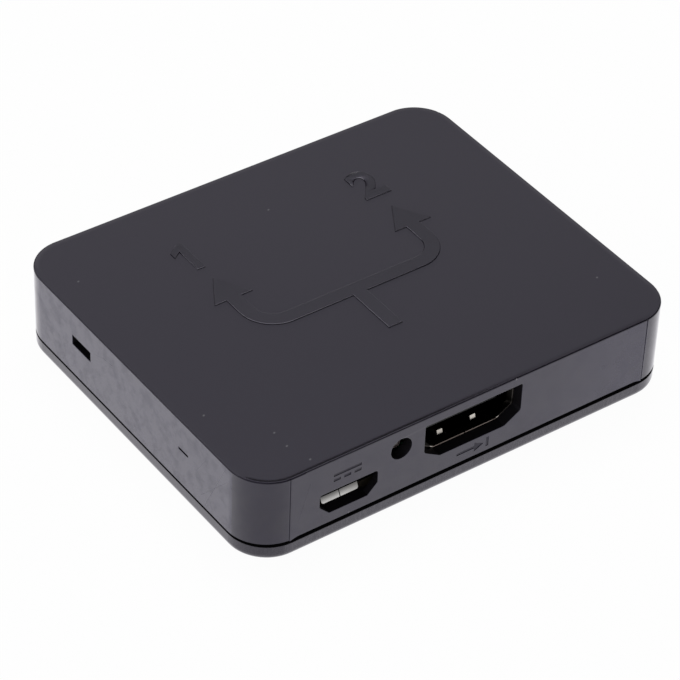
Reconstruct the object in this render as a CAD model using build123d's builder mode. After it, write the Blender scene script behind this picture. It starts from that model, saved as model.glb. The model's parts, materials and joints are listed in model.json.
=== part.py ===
from build123d import *
import os

# A small video splitter: one input socket in the front wall, two output sockets in the rear wall.
# X runs along the port walls, +Y goes from the front wall to the rear wall, +Z is up.
# The origin is the centre of the underside, and all sizes are in millimetres.

os.makedirs("parts", exist_ok=True)

# Casing
LENGTH = 67.0
DEPTH = 56.0
HEIGHT = 13.0
CORNER_R = 5.75
WALL = 1.6
ROOF = 1.2
FLOOR = 1.5
TOP_EDGE_R = 0.2
FOOT_EDGE_R = 1.0

# Shadow gap between the two halves of the casing
BAND_TOP = 2.25
SHELL_FOOT = 2.6
PORT_FOOT = 3.0
PORT_FOOT_HALF = 27.0
PORT_FOOT_RAMP = 1.2

# Circuit board
BOARD_TOP = 5.4
BOARD_T = 1.6
BOARD_LENGTH = 62.6
BOARD_DEPTH = 52.2
BOARD_CORNER_R = 4.2
BOARD_UNDER = BOARD_TOP - BOARD_T
TAIL_DROP = 0.8

# Video sockets: the mouth is wide at the top and has its lower corners cut off
MOUTH_HALF = 7.0
MOUTH_LOW_HALF = 4.95
MOUTH_H = 4.55
MOUTH_SHOULDER = 1.25
SHEET = 0.3
LIP_FLARE = 0.45
LIP_DEPTH = 0.6
LIP_EDGE = 0.15
RIM_SLANT = 0.07
RIM_LAND = 0.02
SOCKET_DEPTH = 10.8
SOCKET_Z = 8.65
OPENING_GROW = 0.67
OPENING_TOP_R = 0.25
OPENING_LOW_R = 0.55
MOULD_FIT = 0.02
INPUT_X = 0.0
OUTPUT_X = 14.5

# Power socket: it sits a little off the middle of its case opening
POWER_OPENING_X = -19.3
POWER_X = -19.75
POWER_HALF = 3.45
POWER_LOW_HALF = 2.45
POWER_H = 1.9
POWER_SHOULDER = 1.05
POWER_DEPTH = 5.3
POWER_RECESS = 1.3
POWER_LIFT = 0.25
POWER_Z = BOARD_TOP + POWER_LIFT + SHEET + POWER_H / 2

# Indicator lamp
LAMP_X = -11.35
LAMP_Z = 9.8
LAMP_R = 1.5
LAMP_HOLE_R = 1.6
LAMP_RECESS = 1.1

# Board screws and the bosses that they bite into
SCREW_SPOTS = [(-27.0, -20.5), (27.0, -20.5), (-27.0, 20.5), (27.0, 20.5)]
BOSS_R = 2.2
PILOT_R = 0.9
SCREW_R = 0.85
HEAD_R = 1.9
HEAD_H = 1.1

# Snap hooks of the cover, and the windows that they catch in
HOOK_Y = 12.1
HOOK_W = 3.6
WINDOW_L = 4.4
WINDOW_LOW = 7.5
WINDOW_H = 1.5
SLIT_L = 2.1
SLIT_H = 0.25
SLIT_Z = 8.2
SKIN = 0.6

FRONT_Y = -DEPTH / 2
REAR_Y = DEPTH / 2
SIDE_IN = LENGTH / 2 - WALL

EXPORTED = []


def keep(part, label):
    """Labels a finished piece and writes it as one STEP file."""
    part.label = label
    export_step(part, f"parts/{label}.step")
    EXPORTED.append(label)


def row(count, pitch):
    """Places of evenly spaced things about a middle."""
    return [pitch * (n - (count - 1) / 2) for n in range(count)]


def front_mouth(x, z, recess):
    """Plane of a mouth in the front wall: its normal points into the case, its y axis points up."""
    return Plane(origin=(x, FRONT_Y + recess, z), x_dir=(-1, 0, 0), z_dir=(0, 1, 0))


def rear_mouth(x, z, recess):
    """Plane of a mouth in the rear wall, facing the other way."""
    return Plane(origin=(x, REAR_Y - recess, z), x_dir=(1, 0, 0), z_dir=(0, -1, 0))


def side_plane(mouth, across):
    """Plane through a mouth, seen from the side: x runs into the case and y points up."""
    origin = mouth.from_local_coords((across, 0, 0))
    return Plane(origin=origin, x_dir=mouth.z_dir, z_dir=-mouth.x_dir)


INPUT_MOUTH = front_mouth(INPUT_X, SOCKET_Z, WALL)
OUTPUT_MOUTHS = {
    "output_1": rear_mouth(-OUTPUT_X, SOCKET_Z, WALL),
    "output_2": rear_mouth(OUTPUT_X, SOCKET_Z, WALL),
}
POWER_MOUTH = front_mouth(POWER_X, POWER_Z, POWER_RECESS)
VIDEO_MOUTHS = {"input": INPUT_MOUTH, **OUTPUT_MOUTHS}
BOARD_DROP = SOCKET_Z - BOARD_TOP


def cut_corner_outline(half, low_half, height, shoulder, grow):
    """A mouth with its lower corners cut off, grown outwards by a margin."""
    top, low = height / 2, -height / 2
    with BuildSketch() as outline:
        with BuildLine():
            Polyline(
                (-half, top),
                (half, top),
                (half, low + shoulder),
                (low_half, low),
                (-low_half, low),
                (-half, low + shoulder),
                close=True,
            )
        make_face()
        if grow:
            offset(amount=grow)
    return outline.sketch


def video_outline(grow):
    return cut_corner_outline(MOUTH_HALF, MOUTH_LOW_HALF, MOUTH_H, MOUTH_SHOULDER, grow)


def power_outline(grow):
    return cut_corner_outline(POWER_HALF, POWER_LOW_HALF, POWER_H, POWER_SHOULDER, grow)


def video_opening():
    """Case opening round a mouth: crisp corners at the top, softer ones below."""
    with BuildSketch() as opening:
        add(video_outline(0))
        offset(amount=OPENING_GROW, kind=Kind.INTERSECTION)
        levels = opening.vertices().group_by(Axis.Y)
        fillet(levels[-1], OPENING_TOP_R)
        levels = opening.vertices().group_by(Axis.Y)
        fillet(levels[0] + levels[1], OPENING_LOW_R)
    return opening.sketch


# Top shell: a tray with its open side down, cut for the ports, with four bosses under its roof
# and a raised sign on top
CAVITY_TOP = HEIGHT - ROOF
POWER_OPENING_LOW = HEIGHT - 8.55
POWER_OPENING_TOP = HEIGHT - 5.1
POWER_OPENING_W = 8.8
POWER_OPENING_CUT = 1.5
POWER_OPENING_R = 0.4
POCKET_W = 9.6
POCKET_TOP = 9.0
PILOT_TOP = 10.2
SEAM_X = 28.2
GROOVE = 0.05

# Raised sign on the roof: one line comes from the input side and forks to the two outputs
SIGN_RISE = 0.15
SIGN_W = 2.2
SIGN_START = -11.0
SIGN_FORK = -2.0
SIGN_END = 5.0
SIGN_BEND = 4.0
ARROW_HALF = 3.0
ARROW_L = 5.0

with BuildSketch() as roof_sign:
    with BuildLine():
        FilletPolyline(
            (-OUTPUT_X, SIGN_END),
            (-OUTPUT_X, SIGN_FORK),
            (OUTPUT_X, SIGN_FORK),
            (OUTPUT_X, SIGN_END),
            radius=SIGN_BEND,
        )
    trace(line_width=SIGN_W)
    with Locations((0, SIGN_START)):
        Rectangle(SIGN_W, SIGN_FORK - SIGN_START, align=(Align.CENTER, Align.MIN))
    for x in (-OUTPUT_X, OUTPUT_X):
        with BuildLine():
            Polyline(
                (x - ARROW_HALF, SIGN_END),
                (x + ARROW_HALF, SIGN_END),
                (x, SIGN_END + ARROW_L),
                close=True,
            )
        make_face()

with BuildSketch() as power_opening:
    half_w = POWER_OPENING_W / 2
    opening_h = POWER_OPENING_TOP - POWER_OPENING_LOW
    with BuildLine():
        Polyline(
            (-half_w, opening_h),
            (half_w, opening_h),
            (half_w, POWER_OPENING_CUT),
            (half_w - POWER_OPENING_CUT, 0),
            (-half_w + POWER_OPENING_CUT, 0),
            (-half_w, POWER_OPENING_CUT),
            close=True,
        )
    make_face()
    fillet(power_opening.vertices().group_by(Axis.Y)[-1], POWER_OPENING_R)

with BuildPart() as top_shell:
    with BuildSketch(Plane.XY.offset(SHELL_FOOT)):
        RectangleRounded(LENGTH, DEPTH, CORNER_R)
    extrude(amount=HEIGHT - SHELL_FOOT)
    fillet(top_shell.faces().sort_by(Axis.Z)[-1].edges(), TOP_EDGE_R)
    with BuildSketch(Plane.XY.offset(SHELL_FOOT)):
        RectangleRounded(LENGTH - 2 * WALL, DEPTH - 2 * WALL, CORNER_R - WALL)
    extrude(amount=CAVITY_TOP - SHELL_FOOT, mode=Mode.SUBTRACT)

    # The port walls stop a little higher between the moulding slides, with a short ramp at each end
    with BuildSketch(Plane.XZ):
        with BuildLine():
            Polyline(
                (-PORT_FOOT_HALF - PORT_FOOT_RAMP, SHELL_FOOT),
                (-PORT_FOOT_HALF, PORT_FOOT),
                (PORT_FOOT_HALF, PORT_FOOT),
                (PORT_FOOT_HALF + PORT_FOOT_RAMP, SHELL_FOOT),
                close=True,
            )
        make_face()
    extrude(amount=DEPTH, both=True, mode=Mode.SUBTRACT)

    # Case openings of the three video sockets, through the walls
    with BuildSketch(*(mouth.offset(-WALL) for mouth in VIDEO_MOUTHS.values())):
        add(video_opening())
    extrude(amount=WALL, mode=Mode.SUBTRACT)

    # Power opening, with a pocket behind it that clears the flared lips of the socket
    with BuildSketch(front_mouth(POWER_OPENING_X, POWER_OPENING_LOW, 0)):
        add(power_opening.sketch)
    extrude(amount=WALL, mode=Mode.SUBTRACT)
    with BuildSketch(front_mouth(POWER_OPENING_X, POWER_OPENING_LOW, WALL - SKIN)):
        Rectangle(POCKET_W, POCKET_TOP - POWER_OPENING_LOW, align=(Align.CENTER, Align.MIN))
    extrude(amount=SKIN, mode=Mode.SUBTRACT)

    # Lamp hole
    with BuildSketch(front_mouth(LAMP_X, LAMP_Z, 0)):
        Circle(LAMP_HOLE_R)
    extrude(amount=WALL, mode=Mode.SUBTRACT)

    # Rear snap windows go right through the side walls
    with BuildSketch(Plane.YZ):
        with Locations((HOOK_Y, WINDOW_LOW)):
            Rectangle(WINDOW_L, WINDOW_H, align=(Align.CENTER, Align.MIN))
    extrude(amount=LENGTH / 2, both=True, mode=Mode.SUBTRACT)
    # Front catches are pockets in the inner face, with only a slit through the skin that is left
    with BuildSketch(Plane.YZ):
        with Locations((-HOOK_Y, WINDOW_LOW)):
            Rectangle(WINDOW_L, WINDOW_H, align=(Align.CENTER, Align.MIN))
    extrude(amount=LENGTH / 2 - SKIN, both=True, mode=Mode.SUBTRACT)
    with BuildSketch(Plane.YZ):
        with Locations((-HOOK_Y, SLIT_Z)):
            Rectangle(SLIT_L, SLIT_H)
    extrude(amount=LENGTH / 2, both=True, mode=Mode.SUBTRACT)

    # Hairline seams beside the moulding slides, on both port walls
    with BuildSketch(Plane.XY.offset(SHELL_FOOT)):
        with Locations(*((x, y) for x in (-SEAM_X, SEAM_X) for y in (FRONT_Y, REAR_Y))):
            Rectangle(2 * GROOVE, 2 * GROOVE)
    extrude(amount=HEIGHT - SHELL_FOOT, mode=Mode.SUBTRACT)

    # Screw bosses under the roof
    with BuildSketch(Plane.XY.offset(BOARD_TOP)):
        with Locations(*SCREW_SPOTS):
            Circle(BOSS_R)
    extrude(amount=CAVITY_TOP - BOARD_TOP)
    with BuildSketch(Plane.XY.offset(BOARD_TOP)):
        with Locations(*SCREW_SPOTS):
            Circle(PILOT_R)
    extrude(amount=PILOT_TOP - BOARD_TOP, mode=Mode.SUBTRACT)

    with BuildSketch(Plane.XY.offset(HEIGHT)):
        add(roof_sign.sketch)
    extrude(amount=SIGN_RISE)
keep(top_shell.part, "top_shell")

# Bottom cover: a tray with a rim that slips into the top shell, board posts and four snap hooks
RIM_GAP = 0.2
RIM_T = 0.9
RIM_TOP = 3.5
POST_R = 1.8
POST_SPOTS = [(-28.3, 0.0), (28.3, 0.0), (0.0, -9.5), (0.0, 9.5)]
PANEL_L = 46.0
PANEL_W = 24.0
PANEL_R = 1.5
PANEL_DEEP = 0.25
ARM_GAP = 0.15
ARM_OUT = SIDE_IN - ARM_GAP
ARM_T = 1.1
ARM_ROOT = 0.2
NOSE_REACH = 0.85
NOSE_PLAY = 0.1
NOSE_LOW = WINDOW_LOW + NOSE_PLAY
HOOK_LEAD = 0.5
HOOK_TOP = WINDOW_LOW + WINDOW_H - NOSE_PLAY

with BuildPart() as bottom_cover:
    with BuildSketch():
        RectangleRounded(LENGTH, DEPTH, CORNER_R)
    extrude(amount=BAND_TOP)
    fillet(bottom_cover.faces().sort_by(Axis.Z)[0].edges(), FOOT_EDGE_R)
    rim_inset = 2 * (WALL + RIM_GAP)
    well_inset = rim_inset + 2 * RIM_T
    with BuildSketch(Plane.XY.offset(BAND_TOP)):
        RectangleRounded(LENGTH - rim_inset, DEPTH - rim_inset, CORNER_R - rim_inset / 2)
    extrude(amount=RIM_TOP - BAND_TOP)
    with BuildSketch(Plane.XY.offset(FLOOR)):
        RectangleRounded(LENGTH - well_inset, DEPTH - well_inset, CORNER_R - well_inset / 2)
    extrude(amount=RIM_TOP - FLOOR, mode=Mode.SUBTRACT)
    with BuildSketch(Plane.XY.offset(FLOOR)):
        with Locations(*POST_SPOTS):
            Circle(POST_R)
    extrude(amount=BOARD_UNDER - FLOOR)
    with BuildSketch():
        RectangleRounded(PANEL_L, PANEL_W, PANEL_R)
    extrude(amount=PANEL_DEEP, mode=Mode.SUBTRACT)
    # Hook profile in the XZ plane: the arm rises beside the wall and its nose points outwards
    for side in (-1, 1):
        with BuildSketch(Plane.XZ.offset(-HOOK_Y), Plane.XZ.offset(HOOK_Y)):
            with BuildLine():
                Polyline(
                    (side * (ARM_OUT - ARM_T), FLOOR - ARM_ROOT),
                    (side * ARM_OUT, FLOOR - ARM_ROOT),
                    (side * ARM_OUT, NOSE_LOW),
                    (side * (ARM_OUT + NOSE_REACH), NOSE_LOW),
                    (side * (ARM_OUT + NOSE_REACH), NOSE_LOW + HOOK_LEAD),
                    (side * ARM_OUT, HOOK_TOP),
                    (side * (ARM_OUT - ARM_T), HOOK_TOP),
                    close=True,
                )
            make_face()
        extrude(amount=HOOK_W / 2, both=True)
keep(bottom_cover.part, "bottom_cover")

# Shells of the video sockets: folded sheet, flared at the mouth, with spring fingers and legs
FINGER_SPOTS = (-2.1, 3.15)
FINGER_W = 1.0
FINGER_RISE = 0.62
FINGER_FRONT = 0.5
FINGER_TIP = 1.0
FINGER_CROWN = 1.28
FINGER_REAR = 2.9
FINGER_END = 6.2
FINGER_SLOT = 0.3
LEG_W = 1.4
LEG_DEPTHS = (2.6, 8.6)
LEG_T = 0.3
LEG_LAP = 0.4
SEAM_GAP = 0.12
LEG_X = MOUTH_HALF + SHEET - LEG_T / 2


def video_shell(mouth, label):
    with BuildPart() as shell:
        with BuildSketch(mouth):
            add(video_outline(SHEET))
        extrude(amount=SOCKET_DEPTH)
        with BuildSketch(mouth):
            add(video_outline(LIP_FLARE + LIP_EDGE))
        with BuildSketch(mouth.offset(LIP_DEPTH)):
            add(video_outline(SHEET))
        loft()
        with BuildSketch(mouth):
            add(video_outline(0))
        extrude(amount=SOCKET_DEPTH, mode=Mode.SUBTRACT)
        # The bore widens towards the mouth, and the rim of the lip slants inwards
        for near, wide, deep, narrow in (
            (0, LIP_FLARE + LIP_EDGE - RIM_LAND, RIM_SLANT, LIP_FLARE),
            (RIM_SLANT, LIP_FLARE, LIP_DEPTH, 0),
        ):
            with BuildSketch(mouth.offset(near)):
                add(video_outline(wide))
            with BuildSketch(mouth.offset(deep)):
                add(video_outline(narrow))
            loft(mode=Mode.SUBTRACT)

        # Butt seam of the folded sheet, open at the flared lip
        with BuildSketch(mouth):
            with Locations((0, -MOUTH_H / 2)):
                Rectangle(SEAM_GAP, 4 * SHEET)
        extrude(amount=SOCKET_DEPTH, mode=Mode.SUBTRACT)

        # Two spring fingers above and two below, each cut free by slots on three sides
        for level in (-1, 1):
            skin_y = level * (MOUTH_H / 2 + SHEET / 2)
            for across in FINGER_SPOTS:
                slot_x = (FINGER_W + FINGER_SLOT) / 2
                with BuildSketch(mouth.offset(FINGER_TIP)):
                    with Locations((across - slot_x, skin_y), (across + slot_x, skin_y)):
                        Rectangle(FINGER_SLOT, 3 * SHEET)
                extrude(amount=FINGER_END - FINGER_TIP, mode=Mode.SUBTRACT)
                with BuildSketch(mouth.offset(FINGER_TIP - FINGER_SLOT)):
                    with Locations((across, skin_y)):
                        Rectangle(FINGER_W + 2 * FINGER_SLOT, 3 * SHEET)
                extrude(amount=FINGER_SLOT, mode=Mode.SUBTRACT)
                with BuildSketch(side_plane(mouth, across)):
                    with BuildLine():
                        inner, outer = level * MOUTH_H / 2, level * (MOUTH_H / 2 + SHEET)
                        Polyline(
                            (FINGER_TIP, inner),
                            (FINGER_TIP, inner - level * FINGER_FRONT),
                            (FINGER_CROWN, inner - level * FINGER_RISE),
                            (FINGER_REAR, inner),
                            (FINGER_REAR, outer),
                            (FINGER_TIP, outer),
                            close=True,
                        )
                    make_face()
                extrude(amount=FINGER_W / 2, both=True)

        # Four legs go down through slots in the board
        leg_top = -MOUTH_H / 2 + MOUTH_SHOULDER + LEG_LAP
        leg_low = -BOARD_DROP - BOARD_T - TAIL_DROP
        for depth in LEG_DEPTHS:
            with BuildSketch(mouth.offset(depth)):
                with Locations((-LEG_X, leg_low), (LEG_X, leg_low)):
                    Rectangle(LEG_T, leg_top - leg_low, align=(Align.CENTER, Align.MIN))
            extrude(amount=LEG_W)
    keep(shell.part, f"{label}_shell")


# Contacts of the video sockets: ten over the tongue and nine under it, one row of feet behind
TONGUE_HALF = 5.7
TONGUE_TOP = 1.05
TONGUE_LOW = -0.35
TONGUE_AT = 1.2
BLOCK_AT = 7.9
BACK_AT = 11.9
STRIP_T = 0.15
STRIP_W = 0.28
STRIP_AT = 1.8
PITCH = 1.0
UPPER_COUNT = 10
LOWER_COUNT = 9
FOOT_L = 0.9
BASE_AT = 4.4


def strip_sketch_points(strip_y, drop_at, foot_y):
    """A contact seen from the side: along the tongue, down behind the socket, and out as a foot."""
    t = STRIP_T
    return [
        (STRIP_AT, strip_y),
        (drop_at, strip_y),
        (drop_at, foot_y),
        (drop_at + FOOT_L, foot_y),
        (drop_at + FOOT_L, foot_y + t),
        (drop_at + t, foot_y + t),
        (drop_at + t, strip_y + t),
        (STRIP_AT, strip_y + t),
    ]


def video_contacts(mouth, label):
    foot_y = -BOARD_DROP
    rows = (
        (TONGUE_TOP, row(UPPER_COUNT, PITCH)),
        (TONGUE_LOW - STRIP_T, row(LOWER_COUNT, PITCH)),
    )
    with BuildPart() as contacts:
        for strip_y, places in rows:
            with BuildSketch(*(side_plane(mouth, across) for across in places)):
                with BuildLine():
                    Polyline(*strip_sketch_points(strip_y, BACK_AT, foot_y), close=True)
                make_face()
            extrude(amount=STRIP_W / 2, both=True)
    keep(contacts.part, f"{label}_contacts")
    return contacts.part


def video_insulator(mouth, label, contacts):
    """The black moulding: a block that closes the shell's rear, its tongue, and a base on the board."""
    base_top = -MOUTH_H / 2 - SHEET
    with BuildPart() as insulator:
        with BuildSketch(mouth.offset(BLOCK_AT)):
            add(video_outline(-MOULD_FIT))
        extrude(amount=BACK_AT - BLOCK_AT)
        with BuildSketch(mouth.offset(TONGUE_AT)):
            with Locations((0, (TONGUE_TOP + TONGUE_LOW) / 2)):
                Rectangle(2 * TONGUE_HALF, TONGUE_TOP - TONGUE_LOW)
        extrude(amount=BLOCK_AT - TONGUE_AT)
        with BuildSketch(mouth.offset(SOCKET_DEPTH)):
            with Locations((0, -BOARD_DROP)):
                Rectangle(2 * TONGUE_HALF, MOUTH_H / 2 + BOARD_DROP, align=(Align.CENTER, Align.MIN))
        extrude(amount=BACK_AT - SOCKET_DEPTH)
        with BuildSketch(mouth.offset(BASE_AT)):
            with Locations((0, -BOARD_DROP)):
                Rectangle(2 * TONGUE_HALF, base_top + BOARD_DROP, align=(Align.CENTER, Align.MIN))
        extrude(amount=BACK_AT - BASE_AT)
        add(contacts, mode=Mode.SUBTRACT)
    keep(insulator.part, f"{label}_insulator")


for socket, mouth in VIDEO_MOUTHS.items():
    video_shell(mouth, socket)
    video_insulator(mouth, socket, video_contacts(mouth, socket))

# Power socket: a smaller shell with four flared lips, its tongue and five contacts
LIP_L = 5.6
LIP_OUT = 0.35
LIP_FALL = 0.75
LIP_ROOT = 0.8
LIP_CORNER_R = 0.35
SIDE_LIP_H = 0.75
SIDE_LIP_AT = 0.52
SIDE_LIP_OUT = 0.3
WING_AT = 2.2
WING_L = 1.6
WING_W = 0.9
POWER_DROP = POWER_Z - BOARD_TOP
POWER_TONGUE_HALF = 1.9
POWER_TONGUE_TOP = 0.55
POWER_TONGUE_T = 0.5
POWER_TONGUE_AT = 1.0
POWER_BLOCK_AT = 4.2
POWER_PITCH = 0.65
POWER_COUNT = 5
POWER_STRIP_T = 0.1
POWER_STRIP_W = 0.25
POWER_STRIP_AT = 1.4
POWER_STRIP_GAP = 0.1
POWER_FOOT_L = 0.8

with BuildPart() as power_shell:
    with BuildSketch(POWER_MOUTH.offset(LIP_OUT)):
        add(power_outline(SHEET))
        add(power_outline(0), mode=Mode.SUBTRACT)
    extrude(amount=POWER_DEPTH - LIP_OUT)
    # The middle of each side is bent outwards in front of the mouth: steeply above and below it
    for level in (-1, 1):
        with BuildSketch(side_plane(POWER_MOUTH, 0)):
            with BuildLine():
                mid = level * (POWER_H + SHEET) / 2
                Polyline((LIP_ROOT, mid), (LIP_OUT, mid), (0, mid + level * LIP_FALL))
            trace(line_width=SHEET)
        extrude(amount=LIP_L / 2, both=True)
    tip_y = FRONT_Y + POWER_RECESS + LIP_OUT / 2
    tips = [
        edge
        for edge in power_shell.edges()
        if abs(edge.length - SHEET) < MOULD_FIT and edge.center().Y < tip_y
    ]
    fillet(tips, LIP_CORNER_R)
    side_origin = POWER_MOUTH.from_local_coords((0, SIDE_LIP_AT, 0))
    with BuildSketch(Plane(origin=side_origin, x_dir=POWER_MOUTH.z_dir, z_dir=(0, 0, 1))):
        for side in (-1, 1):
            with BuildLine():
                mid = side * (POWER_HALF + SHEET / 2)
                Polyline((LIP_ROOT, mid), (LIP_OUT, mid), (0, mid + side * SIDE_LIP_OUT))
            trace(line_width=SHEET)
    extrude(amount=SIDE_LIP_H / 2, both=True)
    # Butt seam under the mouth
    with BuildSketch(POWER_MOUTH.offset(-SHEET)):
        with Locations((0, -POWER_H / 2)):
            Rectangle(SEAM_GAP, 2 * (LIP_FALL + SHEET))
    extrude(amount=POWER_DEPTH + SHEET, mode=Mode.SUBTRACT)
    # Wings at the sides hold the shell a little above the board and are soldered to it
    wing_x = POWER_LOW_HALF + SHEET + WING_W
    with BuildSketch(POWER_MOUTH.offset(WING_AT)):
        with Locations((-wing_x, -POWER_DROP), (wing_x, -POWER_DROP)):
            Rectangle(2 * WING_W, POWER_LIFT + SHEET, align=(Align.CENTER, Align.MIN))
    extrude(amount=WING_L)
keep(power_shell.part, "power_shell")

with BuildPart() as power_contacts:
    low = POWER_TONGUE_TOP - POWER_TONGUE_T
    places = row(POWER_COUNT, POWER_PITCH)
    with BuildSketch(*(side_plane(POWER_MOUTH, across) for across in places)):
        with BuildLine():
            t = POWER_STRIP_T
            start, drop, foot = POWER_STRIP_AT, POWER_DEPTH + POWER_STRIP_GAP, -POWER_DROP
            Polyline(
                (start, low - t),
                (drop, low - t),
                (drop, foot),
                (drop + POWER_FOOT_L, foot),
                (drop + POWER_FOOT_L, foot + t),
                (drop + t, foot + t),
                (drop + t, low),
                (start, low),
                close=True,
            )
        make_face()
    extrude(amount=POWER_STRIP_W / 2, both=True)
keep(power_contacts.part, "power_contacts")

with BuildPart() as power_insulator:
    with BuildSketch(POWER_MOUTH.offset(POWER_BLOCK_AT)):
        add(power_outline(-MOULD_FIT))
    extrude(amount=POWER_DEPTH - POWER_BLOCK_AT)
    with BuildSketch(POWER_MOUTH.offset(POWER_TONGUE_AT)):
        with Locations((0, low)):
            Rectangle(2 * POWER_TONGUE_HALF, POWER_TONGUE_T, align=(Align.CENTER, Align.MIN))
    extrude(amount=POWER_BLOCK_AT - POWER_TONGUE_AT)
    add(power_contacts.part, mode=Mode.SUBTRACT)
keep(power_insulator.part, "power_insulator")

# Indicator lamp: a domed body with a flange, lying on its side, and two bent leads
LAMP_BODY_L = 5.3
LAMP_FLANGE_R = 1.9
LAMP_FLANGE_T = 1.0
LEAD_T = 0.5
LEAD_PITCH = 2.54
LEAD_BEND = 1.6
LEAD_IN = 1.4
LAMP_TIP = front_mouth(LAMP_X, LAMP_Z, LAMP_RECESS)
LAMP_DROP = LAMP_Z - BOARD_UNDER + TAIL_DROP

with BuildPart() as lamp_leads:
    across = (-LEAD_PITCH / 2, LEAD_PITCH / 2)
    with BuildSketch(*(side_plane(LAMP_TIP, x) for x in across)):
        with BuildLine():
            bend = LAMP_BODY_L + LEAD_BEND
            Polyline(
                (LAMP_BODY_L - LEAD_IN, -LEAD_T / 2),
                (bend - LEAD_T, -LEAD_T / 2),
                (bend - LEAD_T, -LAMP_DROP),
                (bend, -LAMP_DROP),
                (bend, LEAD_T / 2),
                (LAMP_BODY_L - LEAD_IN, LEAD_T / 2),
                close=True,
            )
        make_face()
    extrude(amount=LEAD_T / 2, both=True)
keep(lamp_leads.part, "lamp_leads")

with BuildPart() as lamp:
    with BuildSketch(side_plane(LAMP_TIP, 0)):
        with BuildLine():
            dome_end = (LAMP_R, LAMP_R)
            RadiusArc((0, 0), dome_end, LAMP_R)
            Polyline(
                dome_end,
                (LAMP_BODY_L - LAMP_FLANGE_T, LAMP_R),
                (LAMP_BODY_L - LAMP_FLANGE_T, LAMP_FLANGE_R),
                (LAMP_BODY_L, LAMP_FLANGE_R),
                (LAMP_BODY_L, 0),
                (0, 0),
            )
        make_face()
    revolve(axis=Axis((LAMP_X, 0, LAMP_Z), (0, 1, 0)))
    add(lamp_leads.part, mode=Mode.SUBTRACT)
keep(lamp.part, "indicator_lamp")

# Circuit board, notched for the hooks and drilled for screws, legs and leads
NOTCH_PLAY = 0.6
NOTCH_L = HOOK_W + 2 * NOTCH_PLAY
NOTCH_IN = ARM_OUT - ARM_T - NOTCH_PLAY / 2
SCREW_CLEAR_R = 1.1
SLOT_CLEAR = 0.2
HOLE_R = 0.45

with BuildPart() as circuit_board:
    with BuildSketch(Plane.XY.offset(BOARD_UNDER)):
        RectangleRounded(BOARD_LENGTH, BOARD_DEPTH, BOARD_CORNER_R)
        notch_x = NOTCH_IN + WALL
        with Locations(*((x, y) for x in (-notch_x, notch_x) for y in (-HOOK_Y, HOOK_Y))):
            Rectangle(2 * WALL, NOTCH_L, mode=Mode.SUBTRACT)
        with Locations(*SCREW_SPOTS):
            Circle(SCREW_CLEAR_R, mode=Mode.SUBTRACT)
        for mouth in VIDEO_MOUTHS.values():
            for depth in LEG_DEPTHS:
                for across in (-LEG_X, LEG_X):
                    spot = mouth.from_local_coords((across, 0, depth + LEG_W / 2))
                    with Locations((spot.X, spot.Y)):
                        Rectangle(LEG_T + SLOT_CLEAR, LEG_W + SLOT_CLEAR, mode=Mode.SUBTRACT)
        for across in (-LEAD_PITCH / 2, LEAD_PITCH / 2):
            spot = LAMP_TIP.from_local_coords((across, 0, LAMP_BODY_L + LEAD_BEND - LEAD_T / 2))
            with Locations((spot.X, spot.Y)):
                Circle(HOLE_R, mode=Mode.SUBTRACT)
    extrude(amount=BOARD_T)
keep(circuit_board.part, "circuit_board")

# Board screws: pan heads under the board, shanks up into the bosses
SHANK_TOP = 9.8
RECESS_L = 1.9
RECESS_W = 0.45
RECESS_DEEP = 0.6

with BuildPart() as board_screws:
    with BuildSketch(Plane.XY.offset(BOARD_UNDER - HEAD_H)):
        with Locations(*SCREW_SPOTS):
            Circle(HEAD_R)
    extrude(amount=HEAD_H)
    fillet(board_screws.faces().group_by(Axis.Z)[0].edges(), HEAD_H / 2)
    with BuildSketch(Plane.XY.offset(BOARD_UNDER)):
        with Locations(*SCREW_SPOTS):
            Circle(SCREW_R)
    extrude(amount=SHANK_TOP - BOARD_UNDER)
    with BuildSketch(Plane.XY.offset(BOARD_UNDER - HEAD_H)):
        with Locations(*SCREW_SPOTS):
            Rectangle(RECESS_L, RECESS_W)
            Rectangle(RECESS_W, RECESS_L)
    extrude(amount=RECESS_DEEP, mode=Mode.SUBTRACT)
keep(board_screws.part, "board_screws")


MARK_DEEP = 0.1
MARK_R_SHARE = 0.07
MARK_INSET = 2.2
LEAD_SHEET = 0.2
KNEE_SHARE = 0.45


def chip_body(label, spots, size, lift):
    """Moulded chip bodies on the board, each with a round mark at the corner of its first lead."""
    size_x, size_y, height = size
    mark_r = MARK_R_SHARE * (size_x + size_y)
    mark_x = size_x / 2 - MARK_INSET * mark_r
    mark_y = size_y / 2 - MARK_INSET * mark_r
    with BuildPart() as body:
        with BuildSketch(Plane.XY.offset(BOARD_TOP + lift)):
            with Locations(*spots):
                Rectangle(size_x, size_y)
        extrude(amount=height)
        with BuildSketch(Plane.XY.offset(BOARD_TOP + lift + height)):
            with Locations(*((x - mark_x, y - mark_y) for x, y in spots)):
                Circle(mark_r)
        extrude(amount=-MARK_DEEP, mode=Mode.SUBTRACT)
    keep(body.part, label)


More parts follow.
